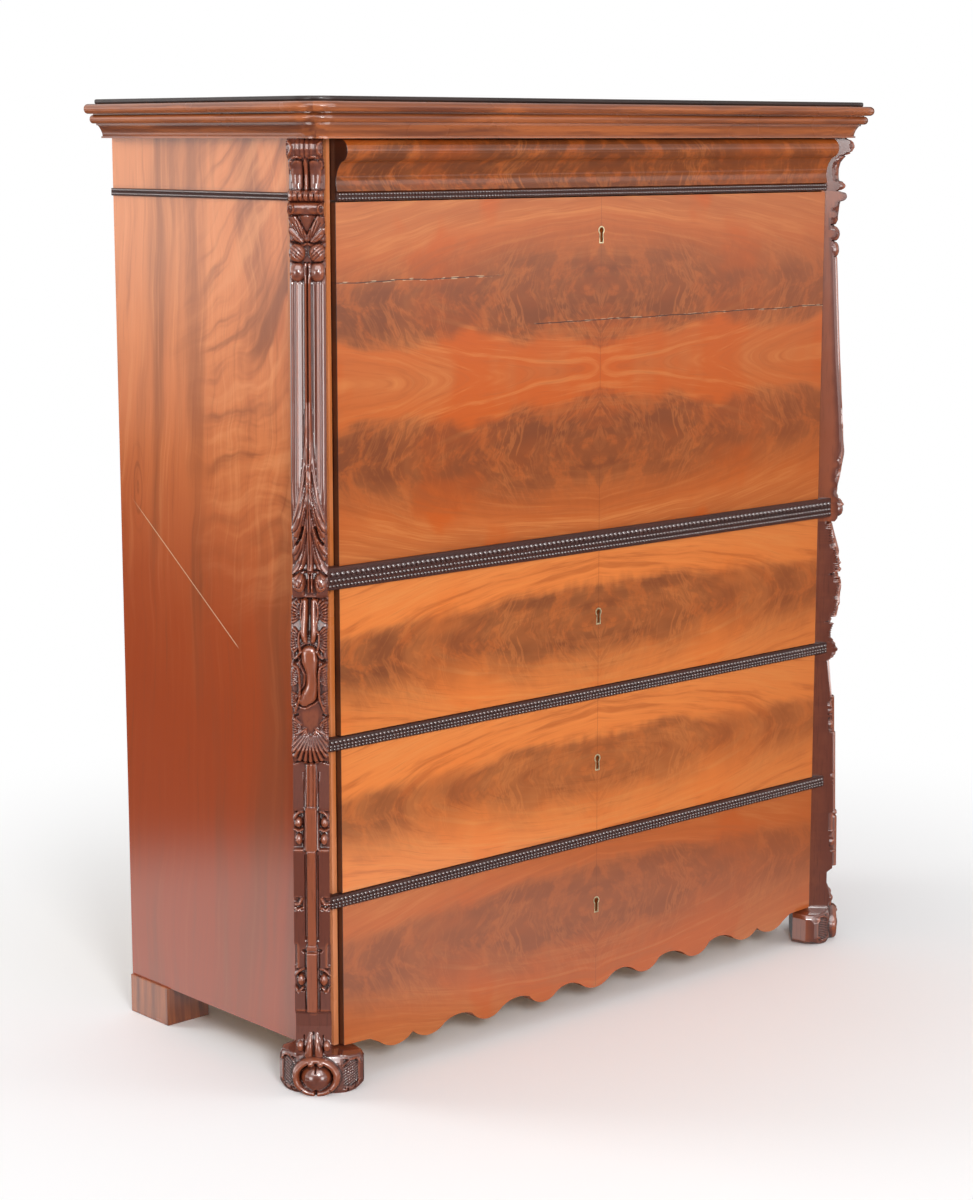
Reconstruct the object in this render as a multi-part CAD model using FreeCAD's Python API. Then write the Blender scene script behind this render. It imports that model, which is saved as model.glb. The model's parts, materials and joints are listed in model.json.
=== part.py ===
import FreeCAD, Part
import math
import os

V = FreeCAD.Vector

# Fall-front chiffonier, in millimetres. X runs to the right, Y to the back and Z up. The origin is on
# the floor, under the middle of the whole piece.

# Case in plan
BODY_D = 476.0              # from the faces of the drawer fronts to the back
SIDE_T = 22.0               # side panels
BACK_T = 12.0               # back panel
BOARD_T = 18.0              # bottom, desk and case top boards
POST_D = 48.0               # corner posts, front to back
FILLET_W = 10.5             # flat strip of a post between a front and the canted corner
CANT = 26.0                 # canted corner, along the front and along the side

# Heights, from the floor up
FOOT_H = 60.0
LOW_H = 208.0               # bottom drawer front, without its scalloped edge
MID_H = 211.0
UP_H = 212.0
BEAD_H = 18.0               # bead mouldings between the drawers, and the rails behind them
WAIST_H = 31.5              # waist moulding under the fall front
FLAP_H = 501.0              # fall front, as far as it shows
FRIEZE_H = 84.5             # frieze drawer
CORNICE_H = 49.0
TOP_T = 7.0                 # dark top board

# Fronts
FRONT_W = 1014.0
FRONT_T = 26.0
PROUD = 10.0                # how far the fronts stand out from the posts
SIDE_GAP = 1.5              # beside each front
EDGE_GAP = 1.0              # above and below each front
SEAT_GAP = 0.5              # between a front and a board behind it

# Fall front and its pivots
FLAP_T = 30.0
PIVOT_IN = 7.0              # pivot axis behind the faces of the posts
TAIL = 25.0                 # flap below the pivot axis
FLAP_REST = 1.0             # open flap above the waist moulding
LIP_GAP = 0.8               # waist moulding in front of the flap
SWING_GAP = 0.8             # flap's tail to what it swings past
PIN_R = 4.0
PIN_FIT = 0.02              # pin in the flap
PIN_PLAY = 0.05             # pin in the post
PIN_IN_FLAP = 18.0

# Drawer boxes
BOX_SIDE_T = 14.0
BOX_BACK_T = 12.0
BOX_BOTTOM_T = 8.0
BOX_LIFT = 6.0              # drawer bottom above the lower edges of the sides
BOX_PLAY = 2.0              # drawer side to the opening
RUN_GAP = 0.3               # drawer side above the board that it runs on
BOX_HEAD = 12.0             # free height over the drawer sides
BOX_TAIL = 15.0             # free depth behind a drawer
GUIDE_H = 30.0
GUIDE_GAP = 0.5
FRIEZE_FRONT_T = 15.0       # lower part of the frieze drawer front
FRIEZE_BOARD_T = 15.0       # board that the frieze drawer runs on

# Locks
LOCK_W = 64.0
LOCK_H = 50.0
LOCK_D = 14.0
LOCK_FIT = 0.1
FLAP_KEY_DROP = 49.5        # keyhole's round part below the top edge of the flap
KEY_RISE = 10.5             # keyhole's round part above the middle of a drawer front
KEY_R = 4.5                 # round part of a keyhole
KEY_FOOT = 2.8              # half width of a keyhole at its foot
KEY_H = 17.5                # keyhole, from the round part's centre down
RIM = 1.8                   # escutcheon, around the keyhole
RIM_DEEP = 2.0
RIM_PROUD = 0.4

# Mouldings
BEAD_OUT = 8.0              # drawer beads, out from the fronts
BEAD_EDGE = 0.8             # flat edge above and below the rows of a moulding
WAIST_OUT = 13.0
WAIST_ROWS = (0.29, 0.37, 0.30)     # shares of the waist moulding's height, from its foot up
FRIEZE_BEAD_H = 11.0
FRIEZE_BEAD_OUT = 6.0
CORNICE_SIDE = 48.0         # cornice beyond the side panels
CORNICE_FRONT = 58.0        # cornice beyond the drawer fronts
CORNER_IN = 12.0            # inner radius of the cornice at its rounded corners
TOP_INSET = 18.0            # top board inside the cornice
FRIEZE_ROLL = 27.0          # roll at the top of the frieze drawer front, out from the fronts

# Scalloped lower edge of the bottom drawer, from the middle out: place in shares of half the front's
# width, and depth below the straight end of the edge
SCALLOP_MID = 27.0
SCALLOPS = (
    ((0.118, 7.8), (0.168, 15.5), (0.214, 25.0), (0.279, 9.5)),
    ((0.327, 4.8), (0.393, 14.0), (0.446, 24.5), (0.512, 8.5)),
    ((0.562, 3.6), (0.620, 11.0), (0.671, 22.0), (0.742, 9.0)),
)
SCALLOP_FIRST = (0.053, 19.0)
SCALLOP_LAST = ((0.803, 22.0), (0.868, 10.5), (0.904, 1.5))

# Carved pilasters on the canted corners
PILASTER_IN = 20.0          # reach from the middle of the cant towards the fronts
UPPER_OUT = 27.5            # reach towards the side, upper console and corbel
LOWER_OUT = 31.0            # reach towards the side, lower console
CORBEL_REACH = 42.5         # relief, outward from the cant
UPPER_REACH = 41.0
LOWER_REACH = 45.0
CONSOLE_DROP = 8.0          # upper console's tip below the waist moulding
FOOT_TOP_GAP = 8.0          # lower console's tip below the case
FOOT_REACH = 40.0           # front feet, outward from the cant
FOOT_HALF = 60.0            # half their width across the diagonal
FOOT_SHIFT = 2.0            # their middle, from the middle of the cant towards the fronts
FOOT_END = 6.0              # relief at their two ends
FOOT_BACK = 30.0            # how far they reach behind the cant
REAR_FOOT_W = 78.0
REAR_FOOT_D = 98.0
REAR_FOOT_PROUD = 4.0

# Writing compartment behind the flap
INNER_T = 12.0
INNER_X = 170.0             # middle compartment, half width
INNER_SET = 120.0           # pigeonholes behind the stop uprights
SHELF_RISE = 250.0          # shelf above the desk board

# Places that follow from these sizes
OPEN_X = FRONT_W / 2 + SIDE_GAP
FILLET_X = OPEN_X + FILLET_W
HALF = FILLET_X + CANT
BACK_Y = (BODY_D + CORNICE_FRONT) / 2
FRONT_Y = BACK_Y - BODY_D
POST_Y = FRONT_Y + PROUD
INNER_HALF = HALF - SIDE_T
CANT_HALF = CANT / math.sqrt(2)
INSIDE_Y = BACK_Y - BACK_T
Z_LOW = FOOT_H
Z_LOW_BEAD = Z_LOW + LOW_H
Z_MID = Z_LOW_BEAD + BEAD_H
Z_UP_BEAD = Z_MID + MID_H
Z_UP = Z_UP_BEAD + BEAD_H
Z_WAIST = Z_UP + UP_H
Z_FLAP = Z_WAIST + WAIST_H
Z_FRIEZE = Z_FLAP + FLAP_H
Z_CORNICE = Z_FRIEZE + FRIEZE_H
Z_TOP = Z_CORNICE + CORNICE_H
PIVOT_SET = PROUD + PIVOT_IN
PIVOT_Y = FRONT_Y + PIVOT_SET
PIVOT_Z = Z_FLAP + FLAP_REST + PIVOT_SET
DESK_Z = PIVOT_Z + FLAP_T - PIVOT_SET
RAIL_TOP = PIVOT_Z - math.hypot(PIVOT_SET, TAIL) - SWING_GAP
DESK_Y = PIVOT_Y + math.hypot(FLAP_T - PIVOT_SET, TAIL) + SWING_GAP
CONSOLE_Z = Z_WAIST - CONSOLE_DROP
FOOT_TOP = FOOT_H - FOOT_TOP_GAP
CORNICE_R = CORNICE_SIDE + CORNER_IN
CORNER_X = HALF - CORNER_IN
CORNER_Y = FRONT_Y - CORNICE_FRONT + CORNICE_R
SAME = 1e-6                 # two points this close are one


def box(x0, x1, y0, y1, z0, z1):
    return Part.makeBox(x1 - x0, y1 - y0, z1 - z0, V(x0, y0, z0))


def mirrored(shape):
    return shape.mirror(V(0, 0, 0), V(1, 0, 0))


def outline(place, start, *steps):
    """Closed face: a step is the end of a line, a pair (middle, end) of an arc, or a list on a curve."""
    edges = []
    here = place(*start)
    for step in steps:
        if isinstance(step, list):
            points = [here] + [place(*point) for point in step]
            curve = Part.BSplineCurve()
            curve.interpolate(points)
            edges.append(curve.toShape())
            here = points[-1]
        elif isinstance(step[0], tuple):
            end = place(*step[1])
            edges.append(Part.Arc(here, place(*step[0]), end).toShape())
            here = end
        else:
            end = place(*step)
            edges.append(Part.makeLine(here, end))
            here = end
    edges.append(Part.makeLine(here, place(*start)))
    return Part.Face(Part.Wire(edges))


def along_x(x0, x1, start, *steps):
    """Solid with the same (y, z) section from x0 to x1."""
    face = outline(lambda y, z: V(x0, y, z), start, *steps)
    return face.extrude(V(x1 - x0, 0, 0))


def standing(z0, z1, *corners):
    """Upright prism over a plan with straight edges."""
    face = outline(lambda x, y: V(x, y, z0), *corners)
    return face.extrude(V(0, 0, z1 - z0))


def both(name, shape):
    save(name + "_left", shape)
    save(name + "_right", mirrored(shape))


def save(name, *shapes):
    shape = shapes[0] if len(shapes) == 1 else Part.makeCompound(list(shapes))
    shape.exportStep("parts/" + name + ".step")


# Case

def post_plan(z0, z1):
    back = POST_Y + POST_D
    return standing(
        z0, z1, (-OPEN_X, POST_Y), (-FILLET_X, POST_Y), (-HALF, POST_Y + CANT), (-HALF, back),
        (-OPEN_X, back))


def case_plan(z0, z1):
    """All that lies inside the outer faces of the case."""
    cant_y = POST_Y + CANT
    return standing(
        z0, z1, (-FILLET_X, POST_Y), (-HALF, cant_y), (-HALF, BACK_Y), (HALF, BACK_Y), (HALF, cant_y),
        (FILLET_X, POST_Y))


def corner_post():
    post = post_plan(FOOT_H, Z_CORNICE)
    bore = Part.makeCylinder(
        PIN_R + PIN_PLAY, FILLET_W + SEAT_GAP, V(-OPEN_X, PIVOT_Y, PIVOT_Z), V(-1, 0, 0))
    return post.cut(bore)


def side_panel():
    return box(-HALF, -INNER_HALF, POST_Y + POST_D, BACK_Y, FOOT_H, Z_CORNICE)


def inner_board(y0, z0, z1):
    """Board between the side panels, cut out for the corner posts, from y0 to the back panel."""
    board = box(-INNER_HALF, INNER_HALF, y0, INSIDE_Y, z0, z1)
    post = box(-HALF, -OPEN_X, POST_Y - FRONT_T, POST_Y + POST_D, z0, z1)
    return board.cut(post).cut(mirrored(post))


def drawer_runs():
    """Level of the board that each drawer runs on, from the bottom drawer up to the frieze drawer."""
    return (Z_LOW + BOARD_T, Z_MID, Z_UP, Z_FRIEZE + FRIEZE_BOARD_T)


def guides():
    y0 = POST_Y + POST_D
    x0 = OPEN_X - BOX_PLAY + GUIDE_GAP
    bars = []
    for z in drawer_runs():
        bar = box(x0, INNER_HALF, y0, INSIDE_Y, z, z + GUIDE_H)
        bars += [bar, mirrored(bar)]
    return bars


def desk_battens():
    bar = box(INNER_HALF - SIDE_T, INNER_HALF, POST_Y + POST_D, INSIDE_Y, RAIL_TOP, DESK_Z - BOARD_T)
    return [bar, mirrored(bar)]


def writing_cabinet():
    """Uprights that stop the flap, and pigeonholes set back between them."""
    z0 = DESK_Z
    z1 = Z_FRIEZE
    stop_y = FRONT_Y + FLAP_T + SEAT_GAP
    hole_y = stop_y + INNER_SET
    shelf_z = z0 + SHELF_RISE
    stop = box(-OPEN_X, -OPEN_X + INNER_T, DESK_Y, INSIDE_Y, z0, z1)
    lug = box(-OPEN_X, -OPEN_X + INNER_T, stop_y, DESK_Y, z0 + FLAP_T, z1)
    stop = stop.fuse(lug).removeSplitter()
    upright = box(-INNER_X - INNER_T, -INNER_X, hole_y, INSIDE_Y, z0, z1)
    side_shelf = box(-OPEN_X + INNER_T, -INNER_X - INNER_T, hole_y, INSIDE_Y, shelf_z, shelf_z + INNER_T)
    mid_shelf = box(-INNER_X, INNER_X, hole_y, INSIDE_Y, shelf_z, shelf_z + INNER_T)
    pairs = []
    for piece in (stop, upright, side_shelf):
        pairs += [piece, mirrored(piece)]
    return pairs + [mid_shelf]


# Cornice

def cornice_section():
    """Section of the cornice as (distance from the corner's centre, height): cove, torus and bullnose."""

    def at(out, rise):
        return (CORNER_IN + out * CORNICE_SIDE, Z_CORNICE + rise * CORNICE_H)

    cove = (at(0.385, 0.0), at(0.385, 0.05), at(0.333, 0.06), (at(0.385, 0.22), at(0.49, 0.36)), at(0.49, 0.37))
    torus = (at(0.56, 0.38), at(0.56, 0.43), at(0.667, 0.43), (at(0.796, 0.558), at(0.667, 0.686)))
    bullnose = (at(0.667, 0.714), at(0.854, 0.714), (at(1.0, 0.857), at(0.854, 1.0)))
    return (at(0.0, 0.0), *cove, *torus, *bullnose, at(0.0, 1.0))


def beside_mitre():
    """Upright block over the side's part of the cornice, bounded by the diagonal through the corner."""
    far = 2 * CORNICE_R
    return standing(
        Z_CORNICE, Z_TOP, (-CORNER_X, CORNER_Y), (-CORNER_X - far, CORNER_Y - far), (-CORNER_X - far, BACK_Y),
        (-CORNER_X, BACK_Y))


def cornice():
    section = cornice_section()
    front = outline(lambda r, z: V(-CORNER_X, CORNER_Y - r, z), *section)
    front = front.extrude(V(2 * CORNER_X, 0, 0))
    end = outline(lambda r, z: V(-CORNER_X - r, CORNER_Y, z), *section)
    side = end.extrude(V(0, BACK_Y - CORNER_Y, 0))
    corner = end.revolve(V(-CORNER_X, CORNER_Y, 0), V(0, 0, 1), 90)
    half = beside_mitre()
    side_piece = side.fuse(corner.common(half)).removeSplitter()
    front_corner = corner.cut(half)
    front_piece = front.fuse([front_corner, mirrored(front_corner)]).removeSplitter()
    return front_piece, side_piece


def rounded_plan(inset, y_end, z0, z1):
    """Plan of the cornice as far back as y_end, drawn in by an inset, with its rounded front corners."""
    r = CORNICE_R - inset
    x = CORNER_X + r
    y = CORNER_Y - r
    c = r / math.sqrt(2)
    return standing(
        z0, z1, (-x, y_end), (-x, CORNER_Y), ((-CORNER_X - c, CORNER_Y - c), (-CORNER_X, y)), (CORNER_X, y),
        ((CORNER_X + c, CORNER_Y - c), (x, CORNER_Y)), (x, y_end))


# Carved pilasters: the section is (relief outward from the cant, height), and it runs across the cant

def on_corner(shape):
    """Turn a piece that faces forward onto the left canted corner."""
    turned = shape.copy()
    turned.rotate(V(0, 0, 0), V(0, 0, 1), -45)
    turned.translate(V(-HALF + CANT / 2, POST_Y + CANT / 2, 0))
    return turned


def pilaster_piece(reach_out, z0, z1, *section):
    """Piece across the cant from z0 to z1, cut to sit on the corner post and against the side."""
    back = reach_out - CANT_HALF + PROUD
    face = outline(lambda d, z: V(-reach_out, -d, z), (-back, z1), *section, (-back, z0))
    block = on_corner(face.extrude(V(reach_out + PILASTER_IN, 0, 0)))
    return block.cut(case_plan(0, Z_TOP))


def relief(reach, z0, z1):
    """Point of a carved section, from shares of its relief and of its height."""
    return lambda out, share: (out * reach, z0 + share * (z1 - z0))


def corbel():
    p = relief(CORBEL_REACH, Z_FRIEZE, Z_CORNICE)
    return pilaster_piece(
        UPPER_OUT, Z_FRIEZE, Z_CORNICE, p(0.74, 1.0), (p(1.0, 0.84), p(0.74, 0.68)),
        (p(0.37, 0.43), p(0.44, 0.2)), p(0.57, 0.19), (p(0.71, 0.095), p(0.57, 0.0)))


def upper_console():
    p = relief(UPPER_REACH, CONSOLE_Z, Z_FRIEZE)
    return pilaster_piece(
        UPPER_OUT, CONSOLE_Z, Z_FRIEZE, p(0.58, 1.0), (p(0.745, 0.984), p(0.58, 0.968)), p(0.45, 0.897),
        (p(0.58, 0.865), p(0.54, 0.81)),
        [p(0.62, 0.668), p(0.78, 0.497), p(0.94, 0.36), p(1.0, 0.24), p(0.89, 0.162), p(0.69, 0.085)],
        (p(1.0, 0.037), p(0.84, 0.0)))


def lower_console():
    p = relief(LOWER_REACH, FOOT_TOP, CONSOLE_Z)
    return pilaster_piece(
        LOWER_OUT, FOOT_TOP, CONSOLE_Z, p(0.4, 1.0), (p(0.5, 0.96), p(0.7, 0.928)), p(0.66, 0.91),
        p(0.85, 0.903), (p(0.92, 0.84), p(0.88, 0.78)), (p(0.6, 0.745), p(0.45, 0.704)), p(0.6, 0.703),
        (p(0.87, 0.678), p(0.62, 0.655)), p(0.53, 0.644), p(0.7, 0.55), p(0.78, 0.546), p(0.81, 0.459),
        p(0.86, 0.452), p(0.94, 0.252), p(0.98, 0.249), p(1.0, 0.11), p(0.6, 0.099), p(0.58, 0.066),
        p(0.72, 0.0615), (p(0.93, 0.0315), p(0.73, 0.0)))


def front_foot():
    """Block under the corner post, and a wide foot on the diagonal with a bowed face."""
    core = post_plan(0, FOOT_H)
    w = FOOT_HALF
    r = FOOT_REACH
    waist = -0.3 * FOOT_BACK
    plan = outline(
        lambda s, d: V(s + FOOT_SHIFT, -d, 0), (-0.75 * w, -FOOT_BACK), (-w, waist), (-w, FOOT_END),
        ((-0.8 * w, 0.6 * r), (-0.5 * w, 0.88 * r)), ((0, r), (0.5 * w, 0.88 * r)),
        ((0.8 * w, 0.6 * r), (w, FOOT_END)), (w, waist), (0.75 * w, -FOOT_BACK))
    toe = on_corner(plan.extrude(V(0, 0, FOOT_TOP)))
    return core.fuse(toe).removeSplitter()


def rear_foot():
    x0 = -HALF - REAR_FOOT_PROUD
    return box(x0, x0 + REAR_FOOT_W, BACK_Y - REAR_FOOT_D, BACK_Y, 0, FOOT_H)


# Mouldings with rows of beads along their face

def bead_rows(y_face, out, z0, z1, shares):
    """Section of the face of a moulding, from its top down: one round row for each share of its height."""
    steps = []
    top = z1 - BEAD_EDGE
    low = z0 + BEAD_EDGE
    y_root = y_face - out
    edge = low
    rows = []
    for share in shares:
        rows.append((edge, edge + share * (top - low) / sum(shares)))
        edge = rows[-1][1]
    for foot, head in reversed(rows):
        radius = min((head - foot) / 2, out)
        start = (y_root + radius, head)
        if not steps or math.dist(start, steps[-1][1]) > SAME:
            steps.append(start)
        steps.append(((y_root, (foot + head) / 2), (y_root + radius, foot)))
    return steps


def to_pilasters(shape):
    """Cut the two ends of a moulding where it meets the pilasters."""
    beyond = box(-HALF, PILASTER_IN, -HALF, HALF, 0, Z_TOP)
    end = on_corner(beyond)
    return shape.cut(end).cut(mirrored(end))


def waist_moulding():
    lip_y = FRONT_Y - LIP_GAP
    rows = bead_rows(FRONT_Y, WAIST_OUT, Z_WAIST, Z_FLAP, WAIST_ROWS)
    strip = along_x(
        -HALF, HALF, (POST_Y, Z_WAIST), (POST_Y, RAIL_TOP), (lip_y, RAIL_TOP), (lip_y, Z_FLAP),
        (rows[0][0], Z_FLAP), *rows, (rows[-1][1][0], Z_WAIST))
    return to_pilasters(strip)


def drawer_bead(z0):
    z1 = z0 + BEAD_H
    rows = bead_rows(FRONT_Y, BEAD_OUT, z0, z1, (1, 1))
    strip = along_x(
        -HALF, HALF, (POST_Y, z0), (POST_Y, z1), (rows[0][0], z1), *rows, (rows[-1][1][0], z0))
    return to_pilasters(strip)


def frieze_bead_side():
    z0 = Z_FRIEZE + EDGE_GAP
    z1 = z0 + FRIEZE_BEAD_H
    rows = bead_rows(0, FRIEZE_BEAD_OUT, z0, z1, (1, 1))
    face = outline(lambda y, z: V(y - HALF, POST_Y, z), (0, z0), (0, z1), (rows[0][0], z1), *rows,
                   (rows[-1][1][0], z0))
    strip = face.extrude(V(0, BACK_Y - POST_Y, 0))
    beyond = on_corner(box(-UPPER_OUT, HALF, -HALF, HALF, 0, Z_TOP))
    return strip.cut(beyond)


# Keyholes and locks

def keyhole(z, grow, y0, y1):
    """Keyhole at x = 0, grown by a margin, from y0 to y1: round above, flaring to its foot."""
    r = KEY_R + grow
    foot = KEY_FOOT + grow
    low = z - KEY_H - grow
    side = r * 0.6
    shoulder = z - r * 0.8
    face = outline(
        lambda x, zz: V(x, y0, zz), (-side, shoulder), ((0, z + r), (side, shoulder)), (foot, low), (-foot, low))
    return face.extrude(V(0, y1 - y0, 0))


def keyed(front, z, y_back):
    """Front with its keyhole, the seat of its escutcheon, and the pocket of its lock."""
    hole = keyhole(z, 0, FRONT_Y - PROUD, y_back + LOCK_FIT)
    seat = keyhole(z, RIM + LOCK_FIT, FRONT_Y - PROUD, FRONT_Y + RIM_DEEP)
    pocket = box(
        -LOCK_W / 2 - LOCK_FIT, LOCK_W / 2 + LOCK_FIT, y_back - LOCK_D, y_back, z - LOCK_H / 2 - LOCK_FIT,
        z + LOCK_H / 2 + LOCK_FIT)
    return front.cut([hole, seat, pocket])


def escutcheon(z):
    y0 = FRONT_Y - RIM_PROUD
    y1 = FRONT_Y + RIM_DEEP
    return keyhole(z, RIM, y0, y1).cut(keyhole(z, 0, y0, y1))


def lock_case(z, y_back):
    return box(-LOCK_W / 2, LOCK_W / 2, y_back - LOCK_D, y_back, z - LOCK_H / 2, z + LOCK_H / 2)


# Fall front

def fall_front():
    z0 = PIVOT_Z - TAIL
    z1 = Z_FRIEZE - EDGE_GAP
    flap = box(-FRONT_W / 2, FRONT_W / 2, FRONT_Y, FRONT_Y + FLAP_T, z0, z1)
    hole = Part.makeCylinder(
        PIN_R + PIN_FIT, PIN_IN_FLAP, V(-FRONT_W / 2, PIVOT_Y, PIVOT_Z), V(1, 0, 0))
    flap = flap.cut([hole, mirrored(hole)])
    return keyed(flap, z1 - FLAP_KEY_DROP, FRONT_Y + FLAP_T)


def flap_pivots():
    start = -FRONT_W / 2 + PIN_IN_FLAP
    length = PIN_IN_FLAP + SIDE_GAP + FILLET_W
    pin = Part.makeCylinder(PIN_R, length, V(start, PIVOT_Y, PIVOT_Z), V(-1, 0, 0))
    return [pin, mirrored(pin)]


# Drawers

def drawer_box(y_front, z_run, z1):
    """Two sides and a back up to z1, and the bottom board between them."""
    outer = OPEN_X - BOX_PLAY
    inner = outer - BOX_SIDE_T
    y_end = INSIDE_Y - BOX_TAIL
    z0 = z_run + RUN_GAP
    side = box(-outer, -inner, y_front, y_end, z0, z1)
    back = box(-inner, inner, y_end - BOX_BACK_T, y_end, z0 + BOX_LIFT, z1)
    bottom = box(-inner, inner, y_front, y_end - BOX_BACK_T, z0 + BOX_LIFT, z0 + BOX_LIFT + BOX_BOTTOM_T)
    return [side, mirrored(side), back], bottom


def scalloped_edge(z):
    """Lower edge of the bottom drawer front from its right end to its left, as outline steps."""
    half = FRONT_W / 2

    def at(point, side):
        return (side * point[0] * half, z - point[1])

    out = []
    start = SCALLOP_FIRST
    for crown, turn, lobe, tick in SCALLOPS:
        out += [(start, crown, turn), (turn, lobe, tick)]
        start = tick
    lobe, rise, end = SCALLOP_LAST
    out.append((start, lobe, rise))
    steps = [at(end, 1), at(rise, 1)]
    for first, middle, last in reversed(out):
        steps.append((at(middle, 1), at(first, 1)))
    steps.append((at((0, SCALLOP_MID), 1), at(SCALLOP_FIRST, -1)))
    for first, middle, last in out:
        steps.append((at(middle, -1), at(last, -1)))
    steps.append(at(end, -1))
    return steps


def drawer_front(z0, z1, scalloped):
    half = FRONT_W / 2
    top = z1 - EDGE_GAP
    low = z0 if scalloped else z0 + EDGE_GAP
    edge = scalloped_edge(low) if scalloped else []
    face = outline(
        lambda x, z: V(x, FRONT_Y, z), (-half, low), (-half, top), (half, top), (half, low), *edge)
    return face.extrude(V(0, FRONT_T, 0))


def long_drawer(name, z0, z1, z_run, scalloped):
    y_back = FRONT_Y + FRONT_T
    z_key = (z0 + z1) / 2 + KEY_RISE
    front = keyed(drawer_front(z0, z1, scalloped), z_key, y_back)
    walls, bottom = drawer_box(y_back, z_run, z1 - BOX_HEAD)
    save(name + "_front", front)
    save(name + "_box", *walls)
    save(name + "_bottom", bottom)
    save(name + "_lock", lock_case(z_key, y_back))
    save(name + "_escutcheon", escutcheon(z_key))


def frieze_drawer(z_run):
    """Drawer with an ogee front: a roll above, a hollow below, and a flat foot that carries the bead."""
    z0 = Z_FRIEZE + EDGE_GAP
    z1 = Z_CORNICE - EDGE_GAP
    bead_top = z0 + FRIEZE_BEAD_H
    hollow = z1 - bead_top
    y_back = FRONT_Y + FRIEZE_FRONT_T

    def at(out, share):
        return (FRONT_Y - out * FRIEZE_ROLL, bead_top + share * hollow)

    front = along_x(
        -FRONT_W / 2, FRONT_W / 2, (y_back, z0), (y_back, z1), at(0.45, 1.0),
        (at(1.0, 0.79), at(0.52, 0.575)), (at(0.13, 0.36), at(0.16, 0.02)), (FRONT_Y, bead_top), (FRONT_Y, z0))
    rows = bead_rows(FRONT_Y, FRIEZE_BEAD_OUT, z0, bead_top, (1, 1))
    bead = along_x(
        -FRONT_W / 2, FRONT_W / 2, (FRONT_Y, z0), (FRONT_Y, bead_top), (rows[0][0], bead_top), *rows,
        (rows[-1][1][0], z0))
    walls, bottom = drawer_box(y_back, z_run, z1 - BOX_LIFT)
    save("frieze_front", front)
    save("frieze_bead_front", bead)
    save("frieze_drawer_box", *walls)
    save("frieze_drawer_bottom", bottom)


def main():
    os.makedirs("parts", exist_ok=True)
    both("side_panel", side_panel())
    both("corner_post", corner_post())
    save("back_panel", box(-INNER_HALF, INNER_HALF, INSIDE_Y, BACK_Y, FOOT_H, Z_CORNICE))
    save("bottom_board", inner_board(FRONT_Y + FRONT_T + SEAT_GAP, FOOT_H, FOOT_H + BOARD_T))
    save("drawer_rail_lower", inner_board(POST_Y, Z_LOW_BEAD, Z_MID))
    save("drawer_rail_upper", inner_board(POST_Y, Z_UP_BEAD, Z_UP))
    save("waist_rail", inner_board(POST_Y, Z_WAIST, RAIL_TOP))
    save("desk_board", inner_board(DESK_Y, DESK_Z - BOARD_T, DESK_Z))
    save("frieze_board", inner_board(FRONT_Y + FRIEZE_FRONT_T + SEAT_GAP, Z_FRIEZE, Z_FRIEZE + FRIEZE_BOARD_T))
    save("drawer_guides", *guides())
    save("desk_battens", *desk_battens())
    save("writing_cabinet", *writing_cabinet())

    front_piece, side_piece = cornice()
    save("case_top", rounded_plan(CORNICE_SIDE, INSIDE_Y, Z_CORNICE, Z_CORNICE + BOARD_T))
    save("cornice_back", box(-HALF, HALF, INSIDE_Y, BACK_Y, Z_CORNICE, Z_TOP))
    save("top_board", rounded_plan(TOP_INSET, BACK_Y, Z_TOP, Z_TOP + TOP_T))
    save("cornice_front", front_piece)
    both("cornice", side_piece)

    both("pilaster_corbel", corbel())
    both("upper_console", upper_console())
    both("lower_console", lower_console())
    both("front_foot", front_foot())
    both("rear_foot", rear_foot())

    save("waist_moulding", waist_moulding())
    save("drawer_bead_upper", drawer_bead(Z_UP_BEAD))
    save("drawer_bead_lower", drawer_bead(Z_LOW_BEAD))
    both("frieze_bead", frieze_bead_side())

    z_key = Z_FRIEZE - EDGE_GAP - FLAP_KEY_DROP
    save("fall_front", fall_front())
    save("flap_pivots", *flap_pivots())
    save("flap_lock", lock_case(z_key, FRONT_Y + FLAP_T))
    save("flap_escutcheon", escutcheon(z_key))

    run_low, run_mid, run_up, run_frieze = drawer_runs()
    frieze_drawer(run_frieze)
    long_drawer("drawer_upper", Z_UP, Z_WAIST, run_up, False)
    long_drawer("drawer_middle", Z_MID, Z_UP_BEAD, run_mid, False)
    long_drawer("drawer_lower", Z_LOW, Z_LOW_BEAD, run_low, True)


main()
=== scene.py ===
import json
import math

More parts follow.
